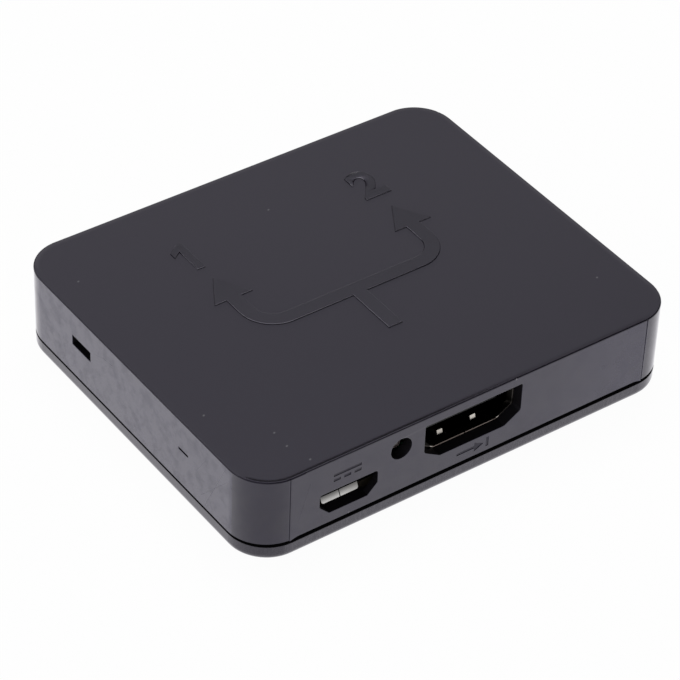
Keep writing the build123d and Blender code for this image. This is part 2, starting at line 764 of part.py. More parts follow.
def gull_leads(label, spot, sides, rise, reach):
    """Gull-wing leads, bent from sheet. Each side is (turn in degrees, distance out, places, width)."""
    knee = KNEE_SHARE * reach
    with BuildPart() as leads:
        for turn, out, places, width in sides:
            t = min(LEAD_SHEET, width / 2)
            frame = Plane(origin=(spot[0], spot[1], BOARD_TOP)).rotated((0, 0, turn))
            stations = [
                Plane(
                    origin=frame.from_local_coords((out, place, 0)),
                    x_dir=frame.x_dir,
                    z_dir=-frame.y_dir,
                )
                for place in places
            ]
            with BuildSketch(*stations):
                with BuildLine():
                    Polyline(
                        (0, rise + t / 2),
                        (knee, rise + t / 2),
                        (knee + t, t),
                        (reach, t),
                        (reach, 0),
                        (knee, 0),
                        (knee - t, rise - t / 2),
                        (0, rise - t / 2),
                        close=True,
                    )
                make_face()
            extrude(amount=width / 2, both=True)
    keep(leads.part, label)


# Splitter chip: a square body with sixteen leads on each side, between the sockets
SPLITTER_SPOT = (3.0, 0.5)
SPLITTER_SIDE = 10.0
SPLITTER_H = 1.4
SPLITTER_LIFT = 0.1
SPLITTER_PITCH = 0.5
SPLITTER_LEAD_W = 0.22
SPLITTER_LEAD_RISE = 0.8
SPLITTER_LEAD_REACH = 1.0
splitter_row = row(16, SPLITTER_PITCH)
chip_body("splitter_chip", [SPLITTER_SPOT], (SPLITTER_SIDE, SPLITTER_SIDE, SPLITTER_H), SPLITTER_LIFT)
gull_leads(
    "splitter_chip_leads",
    SPLITTER_SPOT,
    [(turn, SPLITTER_SIDE / 2, splitter_row, SPLITTER_LEAD_W) for turn in (0, 90, 180, 270)],
    SPLITTER_LEAD_RISE,
    SPLITTER_LEAD_REACH,
)

# Memory chip: four leads on each of two sides
MEMORY_SPOT = (17.5, -4.0)
MEMORY_SIZE = (3.9, 4.9, 1.4)
MEMORY_LIFT = 0.15
MEMORY_PITCH = 1.27
MEMORY_LEAD_W = 0.42
MEMORY_LEAD_RISE = 0.75
MEMORY_LEAD_REACH = 1.05
chip_body("memory_chip", [MEMORY_SPOT], MEMORY_SIZE, MEMORY_LIFT)
gull_leads(
    "memory_chip_leads",
    MEMORY_SPOT,
    [(turn, MEMORY_SIZE[0] / 2, row(4, MEMORY_PITCH), MEMORY_LEAD_W) for turn in (0, 180)],
    MEMORY_LEAD_RISE,
    MEMORY_LEAD_REACH,
)

# Voltage regulator: three leads on one side and a broad cooling tab on the other
REGULATOR_SPOT = (-20.0, -12.0)
REGULATOR_SIZE = (3.5, 6.5, 1.6)
REGULATOR_LIFT = 0.06
REGULATOR_PITCH = 2.3
REGULATOR_LEAD_W = 0.7
REGULATOR_TAB_W = 3.0
REGULATOR_LEAD_RISE = 0.9
REGULATOR_LEAD_REACH = 1.6
chip_body("regulator", [REGULATOR_SPOT], REGULATOR_SIZE, REGULATOR_LIFT)
gull_leads(
    "regulator_leads",
    REGULATOR_SPOT,
    [
        (0, REGULATOR_SIZE[0] / 2, row(3, REGULATOR_PITCH), REGULATOR_LEAD_W),
        (180, REGULATOR_SIZE[0] / 2, row(1, REGULATOR_PITCH), REGULATOR_TAB_W),
    ],
    REGULATOR_LEAD_RISE,
    REGULATOR_LEAD_REACH,
)

# Surge arrays: two small flat bodies behind each socket
SURGE_SIZE = (2.5, 1.0, 0.55)
SURGE_PAIR = 7.0
SURGE_Y = 11.0
SURGE_SPOTS = [(INPUT_X + dx, -SURGE_Y) for dx in row(2, SURGE_PAIR)]
SURGE_SPOTS += [(x + dx, SURGE_Y) for x in (-OUTPUT_X, OUTPUT_X) for dx in row(2, SURGE_PAIR)]
chip_body("surge_arrays", SURGE_SPOTS, SURGE_SIZE, 0)

# Crystal: a pressed can with round ends and a rolled foot, on an insulating base
CRYSTAL_SPOT = (-10.0, -2.0)
CRYSTAL_BASE = (4.9, 12.4, 0.6)
CRYSTAL_FOOT = (11.0, 4.5, 0.3)
CRYSTAL_CAN = (10.3, 3.8, 3.1)
CRYSTAL_ROUND = 0.4
with BuildPart() as crystal_base:
    with BuildSketch(Plane.XY.offset(BOARD_TOP)):
        with Locations(CRYSTAL_SPOT):
            RectangleRounded(CRYSTAL_BASE[0], CRYSTAL_BASE[1], CRYSTAL_ROUND)
    extrude(amount=CRYSTAL_BASE[2])
keep(crystal_base.part, "crystal_base")

with BuildPart() as crystal_can:
    level = BOARD_TOP + CRYSTAL_BASE[2]
    for length, width, height in (CRYSTAL_FOOT, CRYSTAL_CAN):
        with BuildSketch(Plane.XY.offset(level)):
            with Locations(CRYSTAL_SPOT):
                SlotOverall(length, width, rotation=90)
        extrude(amount=height)
        level += height
    fillet(crystal_can.faces().sort_by(Axis.Z)[-1].edges(), CRYSTAL_ROUND)
keep(crystal_can.part, "crystal_can")

# Electrolytic capacitors: aluminium cans with a crimp, in plastic bases that lack two corners
CAN_SPOTS = [(-22.0, -2.5), (-22.0, 6.0)]
CAN_R = 2.5
CAN_TOP = 5.4
CAN_BASE = 5.3
CAN_BASE_T = 0.9
CAN_BASE_CUT = 1.0
CRIMP_Z = 1.9
CRIMP_R = 0.22

with BuildSketch() as base_outline:
    Rectangle(CAN_BASE, CAN_BASE)
    chamfer(base_outline.vertices().group_by(Axis.X)[-1], CAN_BASE_CUT)

with BuildPart() as capacitor_bases:
    with BuildSketch(Plane.XY.offset(BOARD_TOP)):
        with Locations(*CAN_SPOTS):
            add(base_outline.sketch)
    extrude(amount=CAN_BASE_T)
keep(capacitor_bases.part, "capacitor_bases")

with BuildPart() as capacitor_cans:
    for x, y in CAN_SPOTS:
        with BuildSketch(Plane.XZ.offset(-y)):
            with BuildLine():
                base_z, top_z = BOARD_TOP + CAN_BASE_T, BOARD_TOP + CAN_TOP
                Polyline(
                    (x, base_z),
                    (x + CAN_R, base_z),
                    (x + CAN_R, BOARD_TOP + CRIMP_Z - CRIMP_R),
                    (x + CAN_R - CRIMP_R, BOARD_TOP + CRIMP_Z),
                    (x + CAN_R, BOARD_TOP + CRIMP_Z + CRIMP_R),
                    (x + CAN_R, top_z - CRIMP_R),
                    (x + CAN_R - CRIMP_R, top_z),
                    (x, top_z),
                    close=True,
                )
            make_face()
        revolve(axis=Axis((x, y, 0), (0, 0, 1)))
keep(capacitor_cans.part, "capacitor_cans")

# Power inductor: a square ferrite block with its corners taken off
INDUCTOR_SPOT = (-26.5, 12.0)
INDUCTOR_SIDE = 4.2
INDUCTOR_H = 2.0
INDUCTOR_CUT = 0.7
with BuildPart() as power_inductor:
    with BuildSketch(Plane.XY.offset(BOARD_TOP)) as inductor_outline:
        with Locations(INDUCTOR_SPOT):
            Rectangle(INDUCTOR_SIDE, INDUCTOR_SIDE)
        chamfer(inductor_outline.vertices(), INDUCTOR_CUT)
    extrude(amount=INDUCTOR_H)
keep(power_inductor.part, "power_inductor")


def chip_blocks(label, spots, size):
    """Small ceramic blocks soldered flat on the board."""
    with BuildPart() as blocks:
        with BuildSketch(Plane.XY.offset(BOARD_TOP)):
            with Locations(*spots):
                Rectangle(size[0], size[1])
        extrude(amount=size[2])
    keep(blocks.part, label)


# Chip capacitors stand in rows before and behind the splitter chip, chip resistors at its sides
CAPACITOR_SIZE = (1.0, 1.6, 0.8)
CAPACITOR_PITCH = 2.4
CAPACITOR_COLUMNS = (-15.0, 25.0)
RESISTOR_SIZE = (1.6, 0.8, 0.45)
RESISTOR_PITCH = 1.5
RESISTOR_COLUMN = 22.0
AROUND_Y = SPLITTER_SIDE / 2 + 2.6
AROUND_X = SPLITTER_SIDE / 2 + 2.4
CHIP_X, CHIP_Y = SPLITTER_SPOT
capacitor_spots = [
    (CHIP_X + dx, CHIP_Y + dy) for dx in row(5, CAPACITOR_PITCH) for dy in (-AROUND_Y, AROUND_Y)
]
capacitor_spots += [(x, y) for x in CAPACITOR_COLUMNS for y in row(4, CAPACITOR_PITCH)]
resistor_spots = [
    (CHIP_X + dx, CHIP_Y + dy) for dx in (-AROUND_X, AROUND_X) for dy in row(6, RESISTOR_PITCH)
]
resistor_spots += [(RESISTOR_COLUMN, y) for y in row(8, RESISTOR_PITCH)]
chip_blocks("chip_capacitors", capacitor_spots, CAPACITOR_SIZE)
chip_blocks("chip_resistors", resistor_spots, RESISTOR_SIZE)

print("nodes", len(EXPORTED))
print("casing", LENGTH, DEPTH, HEIGHT, "and the sign rises", SIGN_RISE)
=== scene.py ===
# %% [markdown]
# # A small video splitter
# The object is a flat black box with one input socket and two output sockets. Its solids are
# already modelled, so this lesson dresses them: it sets up a studio, gives every piece its
# finish, and carves the small signs that are too fine for the solids.

import json
import math

import bmesh
import bpy
from mathutils import Matrix, Vector


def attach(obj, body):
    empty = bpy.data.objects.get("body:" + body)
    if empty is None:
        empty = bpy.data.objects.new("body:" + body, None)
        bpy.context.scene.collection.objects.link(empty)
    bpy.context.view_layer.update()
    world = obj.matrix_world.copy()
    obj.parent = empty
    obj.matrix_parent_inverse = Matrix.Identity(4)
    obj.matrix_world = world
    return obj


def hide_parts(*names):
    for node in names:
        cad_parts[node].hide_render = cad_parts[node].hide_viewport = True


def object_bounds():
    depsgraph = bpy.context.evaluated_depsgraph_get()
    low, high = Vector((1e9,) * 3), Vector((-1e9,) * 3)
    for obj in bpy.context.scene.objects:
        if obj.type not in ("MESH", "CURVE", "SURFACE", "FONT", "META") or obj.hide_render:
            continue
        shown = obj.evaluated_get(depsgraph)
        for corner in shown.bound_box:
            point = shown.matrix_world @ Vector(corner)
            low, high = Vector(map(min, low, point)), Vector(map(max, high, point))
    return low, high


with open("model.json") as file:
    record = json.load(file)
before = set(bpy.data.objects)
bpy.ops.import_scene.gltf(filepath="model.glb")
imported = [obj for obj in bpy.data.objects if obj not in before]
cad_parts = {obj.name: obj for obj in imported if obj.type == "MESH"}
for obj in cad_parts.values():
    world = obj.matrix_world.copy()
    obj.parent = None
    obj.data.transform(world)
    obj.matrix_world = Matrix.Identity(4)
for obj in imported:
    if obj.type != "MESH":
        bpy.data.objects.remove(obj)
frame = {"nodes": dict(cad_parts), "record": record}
cad_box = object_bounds()
nodes = frame["nodes"]
MM = 0.001
print("solids", len(nodes), "box in mm", [round(c / MM, 2) for corner in cad_box for c in corner])

# %% [markdown]
# ## Places that several steps share
# The walls could be given as numbers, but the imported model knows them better, so they are read
# from its box. A few more places are used both by the finishes and by the carving, such as the
# axes of the sockets, and get their names here. All are in millimetres, which is how such a box
# is drawn, and `MM` turns them into Blender's metres.

# %% Shared places
SIDE_X, PORT_Y, SIGN_TOP = (round(c / MM, 2) for c in cad_box[1])
LEFT, FRONT = -SIDE_X, -PORT_Y
ROOF_Z = 13.0
ON_SIGN = SIGN_TOP - 0.05
CORNER_R = 5.75
WALL_TOP = 12.79
SEAM_X = 28.2
VIDEO_Z = 8.65
OUTPUT_X = 14.5
POWER_X, POWER_Z = -19.75, 6.9
FINGER_Y = 25.4
SIGN_DEPTH = 0.06
print("side walls at", SIDE_X, "port walls at", PORT_Y, "top of the raised sign at", SIGN_TOP)

# %% [markdown]
# ## Camera
# The photograph was taken with a long lens from the near left, about 40 degrees above the
# table, and the camera was tilted sideways by 2 degrees. A camera can be placed by three angles
# of rotation, but it is easier to think of what it looks at: one point on the roof, a direction
# back from it, and a distance. The three axes of the camera follow from the direction.

# %% Place the camera
AIM = Vector((-7.808, -9.500, ROOF_Z)) * MM
AZIMUTH = math.radians(-36.760)
ELEVATION = math.radians(39.489)
ROLL = math.radians(2.318)
DISTANCE = 401.659 * MM
LENS = 165.709

back = Vector(
    (
        math.sin(AZIMUTH) * math.cos(ELEVATION),
        -math.cos(AZIMUTH) * math.cos(ELEVATION),
        math.sin(ELEVATION),
    )
)
level = Vector((math.cos(AZIMUTH), math.sin(AZIMUTH), 0.0))
upright = back.cross(level)
right = math.cos(ROLL) * level + math.sin(ROLL) * upright
up = math.cos(ROLL) * upright - math.sin(ROLL) * level

camera = bpy.data.objects.new("camera", bpy.data.cameras.new("camera"))
camera.data.lens = LENS
camera.data.sensor_width = 36.0
camera.data.clip_start = 0.01
camera.matrix_world = Matrix.Translation(AIM + DISTANCE * back) @ (
    Matrix((right, up, back)).transposed().to_4x4()
)
bpy.context.scene.collection.objects.link(camera)
bpy.context.scene.camera = camera
bpy.context.scene.view_settings.view_transform = "Standard"
print("camera stands at, in mm", [round(c / MM, 1) for c in camera.matrix_world.translation])

# %% [markdown]
# ## Node arithmetic
# A procedural finish is a formula: noise times a mask plus a base value. Written as nodes one
# by one, such a formula is hard to read, so a `Wire` wraps a socket and lets Python's own
# operators add the Math nodes. A `Finish` is a material, and its method `node` adds any other
# node: settings first, because they decide which sockets a node has, then its sockets.

# %% A socket with arithmetic
class Wire:
    """An output socket: plain arithmetic on it adds Math nodes."""

    def __init__(self, finish, socket):
        self.finish = finish
        self.socket = socket

    def math(self, operation, *values):
        return self.finish.node("ShaderNodeMath", {"operation": operation}, dict(enumerate(values)))

    def __add__(self, other):
        return self.math("ADD", self, other)

    def __sub__(self, other):
        return self.math("SUBTRACT", self, other)

    def __rsub__(self, other):
        return self.math("SUBTRACT", other, self)

    def __mul__(self, other):
        return self.math("MULTIPLY", self, other)

    def __truediv__(self, other):
        return self.math("DIVIDE", self, other)

    def __gt__(self, other):
        return self.math("GREATER_THAN", self, other)

    def __lt__(self, other):
        return self.math("LESS_THAN", self, other)

    def __pow__(self, power):
        return self.math("POWER", self, power)

    def __abs__(self):
        return self.math("ABSOLUTE", self)

    __radd__ = __add__
    __rmul__ = __mul__


# %% A material that makes nodes
class Finish:
    """A node material, or any other node tree."""

    def __init__(self, name, tree=None):
        if tree is None:
            self.material = bpy.data.materials.new(name)
            self.material.use_nodes = True
            tree = self.material.node_tree
        self.tree = tree

    def plug(self, node, sockets):
        """Sets a node's inputs, by name or by place, from values or from wires."""
        for key, value in sockets.items():
            open_inputs = [s for s in node.inputs if s.enabled]
            if isinstance(key, int):
                socket = open_inputs[key]
            else:
                socket = next(s for s in open_inputs if s.name == key)
            if isinstance(value, Wire):
                self.tree.links.new(value.socket, socket)
            else:
                socket.default_value = value

    def node(self, kind, settings=None, sockets=None, out=0):
        """Adds a node: its type, its settings, its sockets, and which output to hand back."""
        node = self.tree.nodes.new(kind)
        for key, value in (settings or {}).items():
            if key == "stops":
                ramp = node.color_ramp
                while len(ramp.elements) < len(value):
                    ramp.elements.new(0.5)
                for stop, (place, colour) in zip(ramp.elements, value):
                    stop.position, stop.color = place, (*colour, 1.0)
            else:
                setattr(node, key, value)
        self.plug(node, sockets or {})
        outputs = [s for s in node.outputs if s.enabled]
        if not isinstance(out, int):
            return Wire(self, next(s for s in outputs if s.name == out))
        return Wire(self, outputs[out]) if outputs else None


# %% [markdown]
# ## Studio
# The walls of the box are glossy and nearly black, so what they show is mostly the white table
# mirrored in them. The table could be lit until it looks white, but then the light would wash
# out the box. It glows instead, but only for the camera and for rays that come by way of a
# mirror or through glass, and keeps a share of plain white paper, on which the box casts its
# faint shadow. It is clear from below, so that the underside can be looked at too.

# %% Table
PAPER_GLOW = 0.97
FLOOR_HALF = 4.0
FLOOR_Z = -0.05 * MM
SQUARE = ((-1, -1), (1, -1), (1, 1), (-1, 1))

paper = Finish("white_table")
paper.tree.nodes.clear()
seen = paper.node("ShaderNodeLightPath", out="Is Camera Ray")
mirrored = Wire(paper, seen.socket.node.outputs["Is Glossy Ray"])
passed = Wire(paper, seen.socket.node.outputs["Is Transmission Ray"])
glow = paper.node("ShaderNodeEmission", None, {"Color": (1.0, 1.0, 1.0, 1.0), "Strength": 1.0})
plain = paper.node("ShaderNodeBsdfDiffuse", None, {"Color": (0.96, 0.96, 0.96, 1.0)})
clear = paper.node("ShaderNodeBsdfTransparent")
bright = (seen + mirrored + passed) * PAPER_GLOW
top_side = paper.node("ShaderNodeMixShader", None, {0: bright, 1: plain, 2: glow})
below = paper.node("ShaderNodeNewGeometry", out="Backfacing")
both_sides = paper.node("ShaderNodeMixShader", None, {0: below, 1: top_side, 2: clear})
paper.node("ShaderNodeOutputMaterial", None, {"Surface": both_sides})

floor_mesh = bpy.data.meshes.new("table")
floor_corners = [(x * FLOOR_HALF, y * FLOOR_HALF, FLOOR_Z) for x, y in SQUARE]
floor_mesh.from_pydata(floor_corners, [], [(0, 1, 2, 3)])
floor_mesh.materials.append(paper.material)
floor = bpy.data.objects.new("table", floor_mesh)
bpy.context.scene.collection.objects.link(floor)
print("table", 2 * FLOOR_HALF, "m wide")

# %% [markdown]
# The sky is bright at the horizon and dim above: the small rounded edges of the roof mirror the
# dim part, and show as dark lines. A photographed sky could do it too, but a colour ramp over
# the height takes one node and no picture.

# %% Sky
SKY_STOPS = [(0.0, (1.0, 1.0, 1.0)), (0.16, (1.0, 1.0, 1.0)), (0.36, (0.02, 0.02, 0.021))]

world = bpy.data.worlds.new("studio")
world.use_nodes = True
world.node_tree.nodes.clear()
sky = Finish("sky", world.node_tree)
direction = sky.node("ShaderNodeTexCoord", out="Generated")
height = sky.node("ShaderNodeSeparateXYZ", None, {0: direction}, out="Z")
shade = sky.node("ShaderNodeValToRGB", {"stops": SKY_STOPS}, {0: height})
light = sky.node("ShaderNodeBackground", None, {"Color": shade, "Strength": 1.0})
sky.node("ShaderNodeOutputWorld", None, {"Surface": light})
bpy.context.scene.world = world
print("sky has", len(SKY_STOPS), "stops")

# %% [markdown]
# Two soft boxes add to the light of the sky, as in a product studio. The large one hangs
# overhead, a little to the rear, where neither the roof nor its edges mirror it towards the
# camera. The smaller one stands at the near left. Bright patches of sky would light the box
# as well, but an area lamp is easier to place, and its shadows are less noisy.

# %% Soft boxes
def soft_box(name, place, size, power):
    """A square area lamp that faces the object."""
    bulb = bpy.data.lights.new(name, "AREA")
    bulb.size, bulb.energy = size, power
    box = bpy.data.objects.new(name, bulb)
    box.location = place
    box.rotation_mode = "QUATERNION"
    box.rotation_quaternion = Vector(place).to_track_quat("Z", "Y")
    bpy.context.scene.collection.objects.link(box)


soft_box("overhead_box", (0.15, 0.35, 1.05), size=0.8, power=8.0)
soft_box("left_box", (-0.62, -0.52, 0.55), size=0.4, power=2.0)

# %% [markdown]
# ## Building blocks for the finishes
# All finishes measure places in the object's own coordinates, in metres, so a noise of scale
# 1000 has cells of about a millimetre. These helpers could be written out in each finish, but
# as functions with short names they keep every finish down to a few readable lines.

# %% Helpers for places and noise
def place_of(finish):
    """The point on the object, in its own coordinates."""
    return finish.node("ShaderNodeTexCoord", out="Object")


def facing_of(finish):
    """The direction that the surface faces."""
    return finish.node("ShaderNodeTexCoord", out="Normal")


def along(finish, vector, axis):
    return finish.node("ShaderNodeSeparateXYZ", None, {0: vector}, out=axis)


def stretched(finish, vector, scales):
    """The same place with each axis scaled, for streaks and grain."""
    return finish.node("ShaderNodeVectorMath", {"operation": "MULTIPLY"}, {0: vector, 1: scales})


def noise(finish, vector, scale, detail=2.0, roughness=0.5):
    sockets = {"Vector": vector, "Scale": scale, "Detail": detail, "Roughness": roughness}
    return finish.node("ShaderNodeTexNoise", None, sockets)


# %% Helpers for masks
def between(finish, value, low, high, to_low=0.0, to_high=1.0):
    """A value mapped smoothly from one range to another and held at its ends."""
    sockets = {"Value": value, "From Min": low, "From Max": high, "To Min": to_low, "To Max": to_high}
    return finish.node("ShaderNodeMapRange", {"interpolation_type": "SMOOTHSTEP"}, sockets)


def inside_outline(finish, place, half_x, half_y, corner):
    """How far inside a rounded rectangle a point lies, in metres."""
    over = [
        abs(along(finish, place, axis)) - (half - corner) * MM
        for axis, half in (("X", half_x), ("Y", half_y))
    ]
    beyond = [one.math("MAXIMUM", one, 0.0) for one in over]
    straight = over[0].math("MAXIMUM", over[0], over[1])
    straight = straight.math("MINIMUM", straight, 0.0)
    return corner * MM - straight - (beyond[0] * beyond[0] + beyond[1] * beyond[1]) ** 0.5


# %% Helpers for colours, relief and the shader
def blend_colours(finish, factor, first, second):
    colours = {
        key: value if isinstance(value, Wire) else (*value, 1.0)
        for key, value in (("A", first), ("B", second))
    }
    return finish.node("ShaderNodeMix", {"data_type": "RGBA"}, {"Factor": factor, **colours})


def blend_reliefs(finish, factor, first, second):
    sockets = {"Factor": factor, "A": first, "B": second}
    return finish.node("ShaderNodeMix", {"data_type": "VECTOR"}, sockets)


def bump(finish, height, distance, strength, under=None):
    """Small relief: distance is its depth in metres."""
    sockets = {"Height": height, "Distance": distance, "Strength": strength}
    if under:
        sockets["Normal"] = under
    return finish.node("ShaderNodeBump", None, sockets)


def shade_with(finish, **sockets):
    """Fills in the Principled shader: words in the keys are joined by underlines."""
    shader = finish.tree.nodes["Principled BSDF"]
    for key, value in sockets.items():
        if isinstance(value, tuple) and len(value) == 3:
            value = (*value, 1.0)
        finish.plug(shader, {key.replace("_", " "): value})


# %% [markdown]
# A scratch is a thin straight mark. It could be painted in a picture, but a formula stays sharp
# at any size: the mask is one where a point lies nearer to a line segment than the mark is wide.
# The point is carried onto the segment, and the distance left over is measured. A speck of dust
# is a scratch so short that it is nearly round.

# %% Scratches and specks
def scratch(finish, vector, start, end, width):
    """Mask of a straight scratch between two points, in millimetres."""
    first, last = Vector(start) * MM, Vector(end) * MM
    run = last - first

    def vector_math(operation, a, b, out=0):
        return finish.node("ShaderNodeVectorMath", {"operation": operation}, {0: a, 1: b}, out=out)

    from_start = vector_math("SUBTRACT", vector, tuple(first))
    share = vector_math("DOT_PRODUCT", from_start, tuple(run), out="Value") / run.length_squared
    share = finish.node("ShaderNodeClamp", None, {"Value": share})
    carried = finish.node(
        "ShaderNodeVectorMath", {"operation": "SCALE"}, {"Vector": tuple(run), "Scale": share}
    )
    gap = vector_math("DISTANCE", from_start, carried, out="Value")
    return between(finish, gap, 0.0, width * MM, 1.0, 0.0)


def specks(finish, vector, spots, run):
    """Mask of specks: each spot is a point and a width, and run is how far a speck is drawn out."""
    return sum(
        scratch(finish, vector, spot, Vector(spot) + Vector(run), width) for *spot, width in spots
    )


# %% [markdown]
# ## Casing plastic
# The roof is spark-eroded: a fine, even, satin texture with a faint blue cast. The walls come
# from a polished part of the mould. They are so dark that only their gloss shows. One level of
# gloss is too weak for that, so there are two, the plastic and a clear coat over it, and they
# give the strong mirror of the real wall. Both finishes share one material, because the roof and
# the walls are one moulding, and a mask tells where the roof is.

# %% Where the roof is, and the smudges of the walls
GLOSS_IOR = 1.4
GLOSS_TINT = (0.80, 0.74, 1.0)
COAT_TINT = (0.95, 0.92, 1.0)


def polished_black(finish, place):
    """Smudges of the polished plastic, and its relief: faint waves from the mould."""
    smudge = between(finish, noise(finish, place, 90.0, 4.0, 0.6), 0.42, 0.72)
    waves = noise(finish, place, 130.0, 1.0)
    return smudge, bump(finish, waves, 0.02 * MM, 0.35)


case = Finish("case_black")
place = place_of(case)
x, y, z = (along(case, place, axis) for axis in "XYZ")
flat_top = between(case, along(case, facing_of(case), "Z"), 0.97, 0.995)
roof = flat_top * (z > (ROOF_Z - 0.01) * MM)
polish = roof * (z > ON_SIGN * MM)
smudge, wall_relief = polished_black(case, place)
grain = noise(case, place, 2600.0, 1.0)
print("casing finish starts with", len(case.tree.nodes), "nodes")

# %% [markdown]
# The box has been handled. Its walls carry a few fine scratches, dust lies on the roof, and pale
# specks sit on the walls, partly lint and partly painted glints. Noise would spread them evenly,
# and real ones lie where chance put them, so each has its own place.

# %% Scratches, dust, lint and painted glints
# Each scratch has two ends and a width, and each speck of lint and each painted glint a place and a
# width.
SCRATCHES = [
    ((LEFT, 8.84, 9.47), (LEFT, 6.61, 10.36), 0.08),
    ((LEFT, 6.61, 10.36), (LEFT, 4.43, 10.6), 0.08),
    ((LEFT, -9.5, 11.15), (LEFT, -10.86, 8.63), 0.06),
    ((LEFT, -21.5, 12.2), (LEFT, -17.0, 2.9), 0.07),
    ((LEFT, -23.1, 11.8), (LEFT, -16.1, 4.0), 0.06),
    ((LEFT, -17.2, 10.6), (LEFT, -15.2, 7.5), 0.05),
    ((-25.2, FRONT, 10.8), (-26.9, FRONT, 5.5), 0.06),
]
DUST = [
    (0.0, 18.3),
    (-30.6, -12.3),
    (-25.1, -19.8),
    (-25.2, -22.7),
    (-24.2, -26.3),
    (-29.6, 19.0),
    (28.1, -17.5),
]
DUST_WIDTH = 0.2
LINT_AND_GLINTS = [(-19.19, FRONT, 2.95, 0.2), (LEFT, 18.96, 6.07, 0.12), (6.56, FRONT, 12.78, 0.18)]
marks = sum(scratch(case, place, *one) for one in SCRATCHES)
dust = specks(case, place, [(*spot, ROOF_Z, DUST_WIDTH) for spot in DUST], (0.1, 0.06, 0.0))
lint_and_glints = specks(case, place, LINT_AND_GLINTS, (0.02, 0.0, 0.05))
print("scratches", len(SCRATCHES), "specks of dust", len(DUST), "bits of lint", len(LINT_AND_GLINTS))

# %% [markdown]
# The front rim of the roof is smooth and painted dark, a painted shade, most of all at its left
# end, and the rims at the right and the rear are painted a little pale, a painted sheen. Dirt
# fills the two witness seams of each port wall. The floors of the sunk signs and all inner faces
# stay dull, because no polish reaches them. All of this could be painted by hand on the mesh,
# but one measure tells most of it: how far a point lies inside the outline.

# %% Rims of the roof
RIM_WIDTH = 1.0

depth_in = inside_outline(case, place, SIDE_X, PORT_Y, CORNER_R)
left_side = between(case, x, -32.9 * MM, -32.2 * MM, 1.0, 0.0)
left_side = left_side * between(case, y, -26.5 * MM, -22.0 * MM)
near_edge = between(case, depth_in, 0.3 * MM, RIM_WIDTH * MM, 1.0, 0.0) * (1 - left_side)
front_side = between(case, y, -26.0 * MM, -20.0 * MM, 1.0, 0.0)
# Painted shade on the front rim: full at the left end, half at the right, none past the corner.
dark_rim_share = between(case, x, -10.0 * MM, 14.0 * MM, 1.0, 0.5)
dark_rim_share = dark_rim_share * between(case, x, 27.0 * MM, 31.0 * MM, 1.0, 0.0)
rim = near_edge * front_side * dark_rim_share
# Painted sheen on the rims at the right and the rear.
far_rim_sheen = near_edge * (1 - front_side)
over_walls = z > WALL_TOP * MM
rounded_rim = over_walls * (1 - roof)
soft_edge = over_walls * (x < -26.0 * MM)
print("rims reach", RIM_WIDTH, "mm onto the roof")

# %% Seams, sign floors and inner faces
SEAM_HALF = 0.06
SEAM_GROWTH = 0.09
PORT_FACE_Y = 27.5
SIGNS_END_X = 24.0

seam_half = (x > 0.0) * (z * z) * (SEAM_GROWTH / ROOF_Z**2 / MM) + SEAM_HALF * MM
seam = (abs(abs(x) - SEAM_X * MM) < seam_half) * (abs(y) > PORT_FACE_Y * MM)
past_signs = depth_in > SIGN_DEPTH * 1.5 * MM
sunk = (depth_in > SIGN_DEPTH * 0.5 * MM) * (1 - past_signs) * (abs(x) < SIGNS_END_X * MM)
hidden = past_signs * (z < WALL_TOP * MM)
dull = (sunk * 0.7 + hidden + seam + soft_edge) * (1 - roof)
print("right seam is", 2 * (SEAM_HALF + SEAM_GROWTH), "mm wide at its top")

# %% [markdown]
# The colours come from noise at three sizes. The widest shades the roof, the middle one mottles
# the walls, and the finest is the spark-eroded grain itself, which feeds the relief too. The
# left wall and the far end of the front wall are painted paler, a painted sheen.

# %% Colour of the roof
# Painted sheen: the roof goes from ROOF_NEAR in front to the lighter ROOF_FAR at the rear.
ROOF_NEAR, ROOF_FAR = (0.0258, 0.0245, 0.0297), (0.0398, 0.0378, 0.0448)
# Painted shade for the front rim and painted sheen for the far rims.
PAINTED_RIM_SHADE, PAINTED_RIM_SHEEN = (0.006, 0.0055, 0.007), (0.058, 0.055, 0.062)
DUST_TONE = (0.2, 0.2, 0.2)
SIGN_TONE = (0.030, 0.029, 0.034)

erosion = noise(case, place, 5200.0, 2.0, 0.6)
wide_tint = noise(case, place, 45.0, 3.0)
# Painted sheen: lighter towards the rear right, mixed with a wide tint of the plastic.
rear_sheen = between(case, y + x * 0.5, -36.0 * MM, 36.0 * MM)
tint_and_sheen_share = wide_tint * 0.15 + rear_sheen * 0.85
roof_colour = blend_colours(case, tint_and_sheen_share, ROOF_NEAR, ROOF_FAR)
roof_colour = blend_colours(case, rim, roof_colour, PAINTED_RIM_SHADE)
roof_colour = blend_colours(case, far_rim_sheen, roof_colour, PAINTED_RIM_SHEEN)
roof_colour = blend_colours(case, dust * 0.7, roof_colour, DUST_TONE)
top_colour = blend_colours(case, polish, roof_colour, SIGN_TONE)
print("roof goes from", ROOF_NEAR, "in front to", ROOF_FAR, "at the rear")

# %% Colour of the walls
WALL_DARK, WALL_HAZE_AND_SHEEN = (0.0045, 0.0036, 0.0066), (0.09, 0.087, 0.135)
CORNER_TONE = (0.034, 0.032, 0.039)
LINT_AND_GLINT_TONE = (0.3, 0.29, 0.28)
INNER_TONE = (0.004, 0.0037, 0.0037)

mottle = between(case, noise(case, place, 420.0, 5.0, 0.75), 0.3, 0.7)
front_wall = y < (FRONT + 0.05) * MM
left_wall = x < (LEFT + 0.05) * MM
